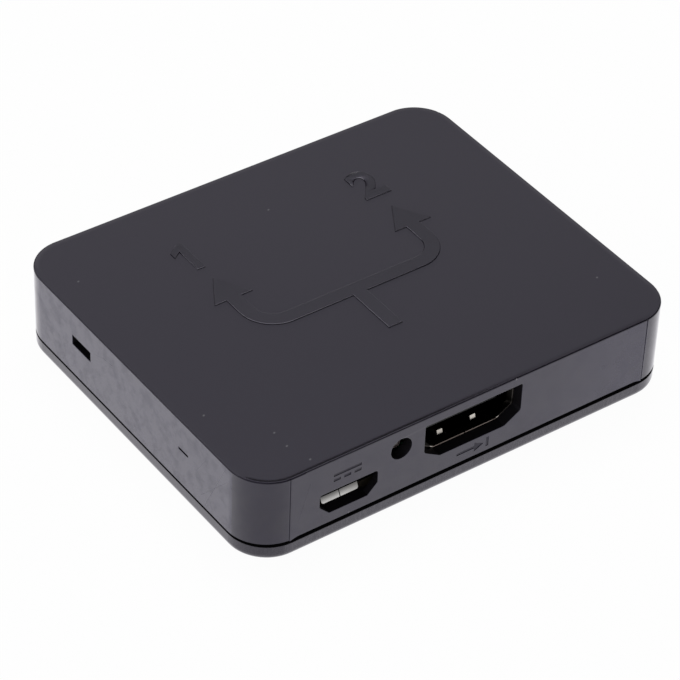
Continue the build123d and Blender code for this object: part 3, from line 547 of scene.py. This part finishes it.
# Painted sheen: the left wall and the far end of the front wall are painted paler.
painted_wall_sheen = front_wall * (between(case, x, 8.0 * MM, 25.0 * MM) * 0.21 + 0.06) + left_wall * 0.34
haze_and_sheen = (painted_wall_sheen + smudge * 0.08 + mottle * 0.08) * (1 - rounded_rim)
wall_colour = blend_colours(case, haze_and_sheen, WALL_DARK, WALL_HAZE_AND_SHEEN)
wall_colour = blend_colours(case, soft_edge * left_side, wall_colour, CORNER_TONE)
# Pale specks: partly lint, partly painted glints.
wall_colour = blend_colours(case, lint_and_glints * 0.8, wall_colour, LINT_AND_GLINT_TONE)
wall_colour = blend_colours(case, hidden, wall_colour, INNER_TONE)
# The paler colour is smudges and mottle, and painted sheen on the left wall and the far end of the front
# wall.
print("walls go from", WALL_DARK, "to", WALL_HAZE_AND_SHEEN, "where they are worn")

# %% Gloss and relief of the casing
wall_gloss = smudge * 0.10 + marks * 0.25 + grain * 0.02 + mottle * 0.05 + dull * 0.45 + 0.02
roof_gloss = erosion * 0.10 + 0.46 - polish * 0.10 - rim * 0.34
roof_relief = bump(case, erosion, 0.012 * MM, 0.5, under=wall_relief)
dirt = mottle * (left_wall * 0.44 + 0.30)
worn_coat = left_wall * 0.22 + front_wall * 0.05 + 1.06 - dirt - smudge * 0.08 - marks * 0.35 - dull
shade_with(
    case,
    Base_Color=blend_colours(case, roof, wall_colour, top_colour),
    Roughness=wall_gloss * (1 - roof) + roof_gloss * roof,
    Coat_Weight=(1 - roof) * case.node("ShaderNodeClamp", None, {"Value": worn_coat}),
    Normal=blend_reliefs(case, roof, wall_relief, roof_relief),
    Coat_Tint=COAT_TINT,
    Coat_Roughness=0.02,
    Coat_IOR=GLOSS_IOR,
    IOR=GLOSS_IOR,
    Specular_Tint=GLOSS_TINT,
)
print("casing finish has", len(case.tree.nodes), "nodes")

# %% [markdown]
# ## Cover plastic
# The cover is the same plastic. Its narrow band rubs on tables, so it has fine upright streaks,
# which are a noise pressed together sideways. The underside is a little duller than the band,
# with fine eroded grain inside its panel. It has its own material, because it wears otherwise.

# %% Regions and wear of the bottom cover
cover = Finish("cover_black")
place = place_of(cover)
cover_y, cover_z = (along(cover, place, axis) for axis in "YZ")
smudge, band_relief = polished_black(cover, place)
under = between(cover, along(cover, facing_of(cover), "Z"), -0.97, -0.995)
panel = under * (cover_z > 0.1 * MM)
# Painted shadow: the top of the band, in the gap under the shell, is painted near black.
shaded_ledge = cover_z > 2.2 * MM
streaks = noise(cover, stretched(cover, place, (3600.0, 3600.0, 900.0)), 1.0, 4.0, 0.7)
rubbed = between(cover, streaks, 0.38, 0.72)
eroded = noise(cover, place, 4200.0, 2.0, 0.6)
# Painted sheen: the band is painted paler towards its lower edge.
low = between(cover, cover_z, 0.4 * MM, 1.5 * MM, 0.22, 0.0)
front_band = (cover_y < (FRONT + 0.1) * MM) * (rubbed * 0.5 + 0.26)
pale = rubbed * 0.32 + smudge * 0.1 + low + front_band + 0.03
print("cover masks have", len(cover.tree.nodes), "nodes")

# %% Colour, gloss and relief of the bottom cover
BAND_DARK, BAND_PALE = (0.0070, 0.0062, 0.0090), (0.08, 0.078, 0.080)
# Painted shadow for the ledge in the gap under the shell.
PAINTED_GAP_SHADE = (0.004, 0.004, 0.004)
UNDER_TONE = (0.021, 0.020, 0.023)

cover_colour = blend_colours(cover, pale, BAND_DARK, BAND_PALE)
cover_colour = blend_colours(cover, shaded_ledge, cover_colour, PAINTED_GAP_SHADE)
cover_colour = blend_colours(cover, under, cover_colour, UNDER_TONE)
band_gloss = rubbed * 0.12 + smudge * 0.1 + shaded_ledge * 0.4 + 0.05
under_gloss = eroded * 0.1 + panel * 0.14 + 0.22
band_coat = between(cover, cover_z, 0.2 * MM, 1.0 * MM, 0.2, 0.92)
panel_relief = bump(cover, eroded, 0.01 * MM, 0.5, under=band_relief)
shade_with(
    cover,
    Base_Color=cover_colour,
    Roughness=band_gloss * (1 - under) + under_gloss * under,
    Coat_Weight=(1 - under) * (1 - shaded_ledge) * band_coat,
    Normal=blend_reliefs(cover, panel, band_relief, panel_relief),
    Coat_Tint=COAT_TINT,
    Coat_Roughness=0.03,
    Coat_IOR=GLOSS_IOR,
    IOR=GLOSS_IOR,
    Specular_Tint=GLOSS_TINT,
)
print("cover finish has", len(cover.tree.nodes), "nodes")

# %% [markdown]
# ## Metals
# All sheet and wire here is plated. Plating is never one grey: it is a little patchy, and the
# rolled sheet under it leaves fine grain. One function makes them all, with its own colour,
# roughness and grain direction for each. Deep inside a socket shell the bore is painted nearly
# black, a painted shade. The bore could be a part of its own, but shell and bore are one sheet, so
# a mask paints the shade on it: a point is on the bore where its surface faces the middle axis.

# %% Where the bores of the sockets are
# Painted shade deep inside the sockets.
PAINTED_BORE_SHADE = (0.005, 0.0045, 0.004)
TURNED_IN = 0.05


def towards_axis(metal, place, offset_x, middle_z):
    """One where the surface faces the axis of its socket, which runs along y."""
    facing = facing_of(metal)
    height = along(metal, place, "Z") - middle_z * MM
    outwards = along(metal, facing, "Z") * height + along(metal, facing, "X") * offset_x
    return outwards < -TURNED_IN * MM


# %% [markdown]
# In a video socket the rim is painted dim, a painted shade, with its bends at the corners left
# brighter as painted glints and its slanting sides painted darker still. The front ends of the
# spring fingers stay bright, because they are turned towards the light.

# %% Painted shade of the video sockets
RIM_FRONT = 26.32
BEND_X = 5.3
FINGER_MID, FINGER_STEP, FINGER_HALF = 0.525, 2.625, 0.42
TIP_BACK, TIP_FRONT, TIP_HALF = FINGER_Y - 0.35, FINGER_Y + 0.05, 2.26


def video_painted_shade(metal, place):
    """Painted shade of a video socket: its bore and its rim. The ends of the spring fingers stay bright.
    """
    x, y, z = (along(metal, place, axis) for axis in "XYZ")
    offset = x - x.math("SIGN", x) * (y > 0.0) * OUTPUT_X * MM
    inward = towards_axis(metal, place, offset, VIDEO_Z)
    behind = abs(y) < RIM_FRONT * MM
    tip = (abs(y) > TIP_BACK * MM) * (abs(y) < TIP_FRONT * MM) * (abs(z - VIDEO_Z * MM) < TIP_HALF * MM)
    bend = between(metal, abs(abs(offset) - BEND_X * MM), 0.1 * MM, 0.3 * MM, 1.0, 0.0)
    slanting = abs(offset) > (BEND_X + 0.2) * MM
    from_left = offset * y.math("SIGN", y)
    finger = abs(abs(from_left - FINGER_MID * MM) - FINGER_STEP * MM) < FINGER_HALF * MM
    return (
        # Painted shade: the rim is dimmed except at its bends, the slanting sides are darker still, and
        # the bore is near black.
        (inward * (1 - behind) * (1 - bend * 0.7), (0.24, 0.20, 0.18)),
        (inward * (1 - behind) * slanting, (0.040, 0.036, 0.034)),
        (inward * behind * (1 - tip * finger), PAINTED_BORE_SHADE),
    )


# %% [markdown]
# In the power socket the wide lips are brightest at their edge and painted dim towards their
# root, a painted shade, and darker towards the right end. The lips at its two sides are painted
# with the shade of the opening.

# %% Painted shade of the power socket
BORE_Y, SIDE_LIP_Y, WIDE_LIP_Y = -26.38, -26.0, -26.3
SIDE_LIP_X = 3.05


def power_painted_shade(metal, place):
    """Painted shade of the power socket: its bore, its side lips, and the dim roots of its wide lips."""
    x, y, z = (along(metal, place, axis) for axis in "XYZ")
    offset = x - POWER_X * MM
    # Painted shade: the bore and the side lips take the dark tone of the bore.
    shaded_bore = towards_axis(metal, place, offset, POWER_Z) * (y > BORE_Y * MM)
    side_lip = (abs(offset) > SIDE_LIP_X * MM) * (y < SIDE_LIP_Y * MM)
    # Painted shade: the wide lips grow dark towards their root.
    root = between(metal, abs(z - POWER_Z * MM), 0.85 * MM, 1.9 * MM, 0.95, 0.0)
    root = root * (y < WIDE_LIP_Y * MM)
    darker_right_end = between(metal, offset, 0.6 * MM, 2.7 * MM, 0.0, 0.35)
    return (
        (root, (0.10, 0.098, 0.096)),
        (darker_right_end, (0.16, 0.15, 0.14)),
        (shaded_bore.math("MAXIMUM", shaded_bore, side_lip), PAINTED_BORE_SHADE),
    )


# %% Plated metals
def plated(name, colour, dark, roughness, grain_scales, painted_shading=None):
    """Plated metal: patches of darker tint and fine grain along one axis."""
    metal = Finish(name)
    place = place_of(metal)
    patches = between(metal, noise(metal, place, 420.0, 4.0, 0.6), 0.35, 0.75)
    grain = noise(metal, stretched(metal, place, grain_scales), 1.0, 3.0, 0.6)
    tone = blend_colours(metal, patches * 0.25 + grain * 0.15, colour, dark)
    # Painted shade: each mask paints its dark tone over the plating.
    for mask, shade in painted_shading(metal, place) if painted_shading else ():
        tone = blend_colours(metal, mask, tone, shade)
    shade_with(
        metal,
        Base_Color=tone,
        Metallic=1.0,
        Roughness=grain * 0.14 + patches * 0.1 + (roughness - 0.12),
        Normal=bump(metal, grain, 0.004 * MM, 0.4),
    )
    return metal


# Colour, tint of the patches, roughness, scale of the grain along x, y and z, and painted shade.
METALS = {
    "socket_steel": ((0.66, 0.62, 0.57), (0.36, 0.33, 0.29), 0.28, (900, 300, 900), video_painted_shade),
    "power_steel": ((0.56, 0.55, 0.54), (0.38, 0.37, 0.36), 0.26, (300, 900, 900), power_painted_shade),
    "screw_steel": ((0.6, 0.59, 0.56), (0.36, 0.35, 0.33), 0.32, (700, 700, 200)),
    "contact_gold": ((0.83, 0.63, 0.28), (0.6, 0.4, 0.15), 0.24, (1500, 400, 1500)),
    "lead_tin": ((0.72, 0.72, 0.7), (0.45, 0.45, 0.44), 0.34, (800, 800, 800)),
    "crystal_steel": ((0.68, 0.68, 0.66), (0.45, 0.44, 0.42), 0.28, (300, 1400, 900)),
    "can_aluminium": ((0.78, 0.78, 0.79), (0.55, 0.55, 0.56), 0.3, (500, 500, 1500)),
}
finishes = {"case_black": case, "cover_black": cover}
for name, values in METALS.items():
    finishes[name] = plated(name, *values)
print("metals", len(METALS))

# %% [markdown]
# ## Small parts
# Moulded resin, ferrite and ceramic are dull and slightly speckled. They differ in colour, in
# the size of their grain, and in how much the grain shows, so one function with those as its
# values makes them all. Hardly any of them is seen, and a plain recipe is enough.

# %% Resins and ceramics
def moulded(name, colour, pale, roughness, scale, speck=0.3, coat=0.0):
    """Dull material with fine grain, and specks of a paler tint."""
    body = Finish(name)
    place = place_of(body)
    grain = noise(body, place, scale, 3.0, 0.6)
    paler = between(body, noise(body, place, scale * 2.5, 1.0), 0.62, 0.75)
    shade_with(
        body,
        Base_Color=blend_colours(body, grain * 0.5 + paler * speck, colour, pale),
        Roughness=grain * 0.16 + (roughness - 0.08),
        Coat_Weight=coat,
        Normal=bump(body, grain, 0.006 * MM, 0.6),
    )
    return body


# Colour, paler tint, roughness, scale of the grain, share of the specks, and coat.
RESINS = {
    "socket_plastic": ((0.012, 0.012, 0.013), (0.03, 0.03, 0.03), 0.5, 1500.0),
    "chip_resin": ((0.022, 0.022, 0.024), (0.06, 0.06, 0.06), 0.6, 2600.0),
    "base_plastic": ((0.02, 0.02, 0.021), (0.05, 0.05, 0.05), 0.5, 1800.0),
    "ferrite_grey": ((0.09, 0.09, 0.1), (0.18, 0.18, 0.18), 0.7, 3000.0, 0.5),
    "ceramic_tan": ((0.5, 0.37, 0.23), (0.68, 0.55, 0.4), 0.55, 1300.0),
    "resistor_black": ((0.03, 0.03, 0.032), (0.09, 0.09, 0.09), 0.35, 1300.0, 0.3, 0.5),
}
for name, values in RESINS.items():
    finishes[name] = moulded(name, *values)
print("resins and ceramics", len(RESINS))

# %% [markdown]
# The lamp is a milky resin dome. Real resin lets light in. A glass shader would make it clear,
# so the plain shader is used with a part of transmission, and a soft cloud of noise tints it.

# %% Lamp resin
lamp = Finish("lamp_resin")
cloud = noise(lamp, place_of(lamp), 650.0, 2.0)
shade_with(
    lamp,
    Base_Color=blend_colours(lamp, cloud, (0.060, 0.045, 0.042), (0.10, 0.080, 0.078)),
    Roughness=cloud * 0.1 + 0.12,
    Transmission_Weight=0.25,
    Normal=bump(lamp, cloud, 0.01 * MM, 0.3),
)
finishes["lamp_resin"] = lamp
print("lamp finish has", len(lamp.tree.nodes), "nodes")

# %% [markdown]
# The board is fibreglass under a green mask. Copper runs under the mask as paler lines, which
# stand up by less than a hair. They could be modelled one by one, but nobody would see their
# shape. A brick pattern gives long straight runs with short crossings, and feeds both the
# colour and the relief. The margins along the two port walls are painted black, a painted shade.

# %% Board laminate
board = Finish("board_laminate")
place = place_of(board)
LANES = {
    "Vector": stretched(board, place, (1.0, 1.0, 0.0)),
    "Color1": (0.0, 0.0, 0.0, 1.0),
    "Color2": (0.0, 0.0, 0.0, 1.0),
    "Mortar": (1.0, 1.0, 1.0, 1.0),
    "Scale": 420.0,
    "Mortar Size": 0.035,
    "Brick Width": 3.2,
    "Row Height": 0.5,
}
lanes = board.node("ShaderNodeTexBrick", {"offset": 0.5, "squash": 1.0}, LANES, out="Fac")
weave = noise(board, place, 900.0, 2.0)
level_face = between(board, abs(along(board, facing_of(board), "Z")), 0.9, 0.98)
copper = lanes * level_face
# Painted shade: the margins along the port walls are painted black.
shaded_margin = abs(along(board, place, "Y")) > 23.6 * MM
mask_green = blend_colours(board, weave, (0.010, 0.10, 0.045), (0.016, 0.15, 0.07))
covered = blend_colours(board, copper, mask_green, (0.035, 0.24, 0.10))
covered = blend_colours(board, shaded_margin, covered, (0.006, 0.008, 0.006))
shade_with(
    board,
    Base_Color=blend_colours(board, 1 - level_face, covered, (0.020, 0.017, 0.012)),
    Roughness=weave * 0.1 + 0.25,
    Coat_Weight=level_face * 0.5,
    Normal=bump(board, copper, 0.03 * MM, 0.6),
)
finishes["board_laminate"] = board
print("board finish has", len(board.tree.nodes), "nodes")

# %% [markdown]
# ## Hand out the finishes
# Each solid could be matched with its finish by hand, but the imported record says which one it
# has, so the names there do the work.

# %% Every solid gets its finish
for part in frame["record"]["subparts"]:
    solid = nodes[part["node"]]
    solid.data.materials.clear()
    solid.data.materials.append(finishes[part["material_slot"]].material)
print("finishes in use", len({n.data.materials[0].name for n in nodes.values()}))

# %% [markdown]
# ## Carving the signs
# Beside its ports the casing has small signs, sunk into the wall by less than a tenth of a
# millimetre: the direct-current sign over the power port, an arrow into a bar under the input,
# and numbers with outward arrows under the outputs. A bump could fake them, but only real
# edges catch the light. Each sign is a flat outline. Pushed through the wall as a prism it
# becomes a cutter, and one Boolean cuts them all.

# %% Outlines of the signs, in millimetres
STROKE = 0.42
HEAD = 1.5
BAR_HALF = 0.75
DASHES = (-1.58, 0.0, 1.58)


def bar(x, y, half_w, half_h):
    return [(x + a * half_w, y + b * half_h) for a, b in SQUARE]


def arrow(tail, length):
    """Arrow along the middle line that points right, as one outline."""
    tip = tail + length
    neck = tip - HEAD
    below = [(tail, -STROKE / 2), (neck, -STROKE / 2), (neck, -HEAD / 2)]
    above = [(x, -y) for x, y in reversed(below)]
    return [*below, (tip, 0.0), *above]


direct_current = [bar(0.0, STROKE, 2.1, STROKE / 2)]
direct_current += [bar(x, -STROKE, 0.52, STROKE / 2) for x in DASHES]
into_bar = [arrow(-2.6, 4.3), bar(2.3, 0.0, STROKE / 2, BAR_HALF)]
out_of_bar = [bar(-0.9, 0.0, STROKE / 2, BAR_HALF), arrow(-0.3, 4.0)]
print("outlines", len(direct_current + into_bar + out_of_bar))

# %% From outlines to prisms
def wall_place(x, z, out):
    """Local x to the right as seen from outside, y up, z out of the front (-1) or rear (1) wall."""
    across = -out
    return Matrix(
        (
            (across, 0, 0, x * MM),
            (0, 0, out, out * PORT_Y * MM),
            (0, 1, 0, z * MM),
            (0, 0, 0, 1),
        )
    )


def add_prism(mesh, outline, where, low, high):
    """A closed prism over an outline, from low to high along the local z."""
    rings = [
        [mesh.verts.new(where @ Vector((x * MM, y * MM, level * MM))) for x, y in outline]
        for level in (low, high)
    ]
    count = len(outline)
    mesh.faces.new(list(reversed(rings[0])))
    mesh.faces.new(rings[1])
    for i in range(count):
        j = (i + 1) % count
        mesh.faces.new((rings[0][i], rings[0][j], rings[1][j], rings[1][i]))


# %% Cutters of the bars and arrows
SIGN_Z = 4.35
CUTTER_OUT = 0.3

# Each row has its outlines, x, z, and the wall: -1 for the front one and 1 for the rear one.
signs = bmesh.new()
for outlines, sign_x, sign_z, out in (
    (direct_current, -19.6, 9.95, -1),
    (into_bar, 0.2, SIGN_Z, -1),
    (out_of_bar, -OUTPUT_X, SIGN_Z, 1),
    (out_of_bar, OUTPUT_X, SIGN_Z, 1),
):
    for outline in outlines:
        add_prism(signs, outline, wall_place(sign_x, sign_z, out), -SIGN_DEPTH, CUTTER_OUT)
print("bars and arrows", len(signs.faces), "faces")

# %% [markdown]
# Numbers could all come from Blender's own font. Its one is a bare stroke, though, which reads
# as a letter, so the one gets an outline of its own with a flag.

# %% From numbers to solids
ONE = [(-0.11, -0.5), (0.1, -0.5), (0.1, 0.5), (-0.06, 0.5), (-0.32, 0.3), (-0.32, 0.1), (-0.11, 0.24)]
DIGIT_SHARE = 0.74


def add_number(mesh, text, size, where, low, high, weight):
    """A plain number as a solid: a flagged stroke for one, and Blender's own font for two."""
    if text == "1":
        tall = size * DIGIT_SHARE
        add_prism(mesh, [(x * tall, y * tall) for x, y in ONE], where, low, high)
        return
    curve = bpy.data.curves.new("number", "FONT")
    curve.body, curve.size = text, size * MM
    curve.align_x, curve.align_y = "CENTER", "CENTER"
    curve.extrude = (high - low) / 2 * MM
    curve.offset = weight * MM
    curve.resolution_u = 6
    holder = bpy.data.objects.new("number", curve)
    bpy.context.scene.collection.objects.link(holder)
    bpy.context.view_layer.update()
    solid = bpy.data.meshes.new_from_object(holder)
    solid.transform(where @ Matrix.Translation((0, 0, (high + low) / 2 * MM)))
    mesh.from_mesh(solid)
    bpy.data.objects.remove(holder)
    bpy.data.meshes.remove(solid)
    bpy.data.curves.remove(curve)


# %% Cutters of the numbers
OUTPUTS = (("1", -OUTPUT_X), ("2", OUTPUT_X))
NUMBER_STEP = 2.6
NUMBER_SIZE = 2.3


def close_up(mesh):
    """Merges corners that meet, and turns all faces outwards."""
    bmesh.ops.remove_doubles(mesh, verts=mesh.verts, dist=1e-7)
    bmesh.ops.recalc_face_normals(mesh, faces=mesh.faces)


for text, output_x in OUTPUTS:
    where = wall_place(output_x + NUMBER_STEP, SIGN_Z, 1)
    add_number(signs, text, NUMBER_SIZE, where, -SIGN_DEPTH, CUTTER_OUT, weight=0.03)
close_up(signs)
print("sign cutters", len(signs.faces), "faces, open edges", sum(not e.is_manifold for e in signs.edges))

# %% [markdown]
# ## The carved top shell
# The shell itself comes from its solid: the triangles are merged into whole flat faces, the
# sharp rims of the openings are rounded as a mould leaves them, and the cutters do the rest.
# It could be modelled afresh, but then it might no longer fit the pieces around it.
# The gap under the shell is wider under the port walls, and widens gently round the corners.

# %% Clean copy of the shell
def clean_copy(node):
    """A node's mesh with its doubles merged and its flat areas joined."""
    mesh = bmesh.new()
    mesh.from_mesh(nodes[node].data)
    bmesh.ops.remove_doubles(mesh, verts=mesh.verts, dist=1e-6)
    bmesh.ops.dissolve_limit(mesh, angle_limit=math.radians(0.2), verts=mesh.verts, edges=mesh.edges)
    return mesh


shell = clean_copy("top_shell")
print("shell as packed has", len(shell.faces), "faces")

# %% Foot of the shell
SHELL_FOOT, PORT_FOOT = 2.6, 3.0
PORT_SIDE_Y = 26.0
CORNER_LIFT = 0.2
PORT_DROP = 0.08

for vert in shell.verts:
    into_corner = (abs(vert.co.y) / MM - (PORT_Y - CORNER_R)) / CORNER_R
    if abs(vert.co.z / MM - SHELL_FOOT) < 0.01 and into_corner > 0:
        vert.co.z += CORNER_LIFT * into_corner * MM
    elif abs(vert.co.z / MM - PORT_FOOT) < 0.01 and abs(vert.co.y) > PORT_SIDE_Y * MM:
        vert.co.z -= PORT_DROP * MM
print("foot lifted by up to", CORNER_LIFT, "mm, port walls lowered by", PORT_DROP, "mm")

# %% Rounded rims
SHARP = math.radians(40)
ON_WALL = 1e-3
OPENINGS_FROM, OPENINGS_TO = 3.2, 12.5


def rim_edges(mesh):
    """Sharp edges of the openings in the two port walls and the side walls."""
    found = []
    for edge in mesh.edges:
        if len(edge.link_faces) != 2 or edge.calc_face_angle() < SHARP:
            continue
        a, b = (v.co / MM for v in edge.verts)
        on_port_wall = abs(abs(a.y) - PORT_Y) < ON_WALL and abs(abs(b.y) - PORT_Y) < ON_WALL
        on_side_wall = abs(abs(a.x) - SIDE_X) < ON_WALL and abs(abs(b.x) - SIDE_X) < ON_WALL
        inside = min(a.z, b.z) > OPENINGS_FROM and max(a.z, b.z) < OPENINGS_TO
        upright_seam = abs(abs(a.x) - SEAM_X) < 0.2
        if (on_port_wall or on_side_wall) and inside and not upright_seam:
            found.append(edge)
    return found


def raised_edges(mesh):
    """The upper edges of what stands on the roof."""
    return [
        edge
        for edge in mesh.edges
        if min(v.co.z for v in edge.verts) > ON_SIGN * MM
        and len(edge.link_faces) == 2
        and edge.calc_face_angle() > SHARP
    ]


def round_edges(mesh, edges, radius):
    settings = {"segments": 2, "profile": 0.5, "affect": "EDGES", "clamp_overlap": False}
    bmesh.ops.bevel(mesh, geom=edges, offset=radius * MM, **settings)
    return len(edges)


rims = round_edges(shell, rim_edges(shell), radius=0.08)
raised = round_edges(shell, raised_edges(shell), radius=0.1)
print("shell", len(shell.faces), "faces, edges rounded", rims, raised)

# %% The shell becomes an object
def as_object(mesh, name, finish):
    data = bpy.data.meshes.new(name)
    mesh.to_mesh(data)
    mesh.free()
    if "custom_normal" in data.attributes:
        data.attributes.remove(data.attributes["custom_normal"])
    data.materials.clear()
    data.materials.append(finish.material)
    made = bpy.data.objects.new(name, data)
    bpy.context.scene.collection.objects.link(made)
    return made


casing_top = as_object(shell, "casing_top", case)
print("casing top before carving", len(casing_top.data.polygons), "faces")

# %% Cut the signs
def smooth(piece):
    """Smooth shading that stops at sharp edges, with normals that keep large faces flat."""
    piece.data.polygons.foreach_set("use_smooth", [True] * len(piece.data.polygons))
    piece.data.set_sharp_from_angle(angle=math.radians(30))
    even = piece.modifiers.new("even_normals", "WEIGHTED_NORMAL")
    even.keep_sharp = True
    even.weight = 100


cutter = as_object(signs, "sign_cutter", case)
carve = casing_top.modifiers.new("signs", "BOOLEAN")
carve.operation, carve.solver, carve.object = "DIFFERENCE", "EXACT", cutter
bpy.context.view_layer.update()
carved = bpy.data.meshes.new_from_object(
    casing_top.evaluated_get(bpy.context.evaluated_depsgraph_get())
)
casing_top.modifiers.clear()
casing_top.data = carved
bpy.data.objects.remove(cutter)
smooth(casing_top)
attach(casing_top, "root")
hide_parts("top_shell")
print("carved shell", len(carved.polygons), "faces")

# %% [markdown]
# ## Tips of the spring fingers
# Two springs in the top and two in the bottom of each video socket press on the plug. Their
# tips are not cut square: they lean back where the punch has rolled them, and so they mirror
# the bright horizon out of the dark bore. Only a few corners move, so a copy of the solid with
# those corners shifted is simpler than new springs.

# %% Video shells with leaning tips
LEAN = 0.25
INNER_EDGE = 1.9

for label in ("input", "output_1", "output_2"):
    mesh = clean_copy(f"{label}_shell")
    leaning = [
        vert
        for vert in mesh.verts
        if abs(abs(vert.co.y) / MM - FINGER_Y) < 0.01 and abs(vert.co.z / MM - VIDEO_Z) < INNER_EDGE
    ]
    for vert in leaning:
        vert.co.y -= math.copysign(LEAN * MM, vert.co.y)
    sleeve = as_object(mesh, f"{label}_sleeve", finishes["socket_steel"])
    smooth(sleeve)
    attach(sleeve, "root")
    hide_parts(f"{label}_shell")
    print(sleeve.name, "has", len(leaning), "moved corners")

# %% [markdown]
# ## Numbers on the roof
# The forked sign on the roof shows one line going to two outputs. A plain raised number beside
# each arrowhead says which is which. The numbers could be part of the solids, but so thin a
# sign changes nothing in how the pieces fit. They stand a hair lower than the forked sign, and
# start just below the roof, so that no gap shows under them.

# %% Raised numbers
NUMBER_Y = 15.5
ROOF_NUMBER_SIZE = 8.0

numbers = bmesh.new()
for text, output_x in OUTPUTS:
    where = Matrix.Translation((output_x * MM, NUMBER_Y * MM, 0))
    add_number(numbers, text, ROOF_NUMBER_SIZE, where, ROOF_Z - 0.05, SIGN_TOP - 0.02, weight=0.35)
close_up(numbers)
rounded = round_edges(numbers, raised_edges(numbers), radius=0.08)
roof_numbers = as_object(numbers, "roof_numbers", case)
smooth(roof_numbers)
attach(roof_numbers, "root")
print("roof numbers have", rounded, "rounded edges")
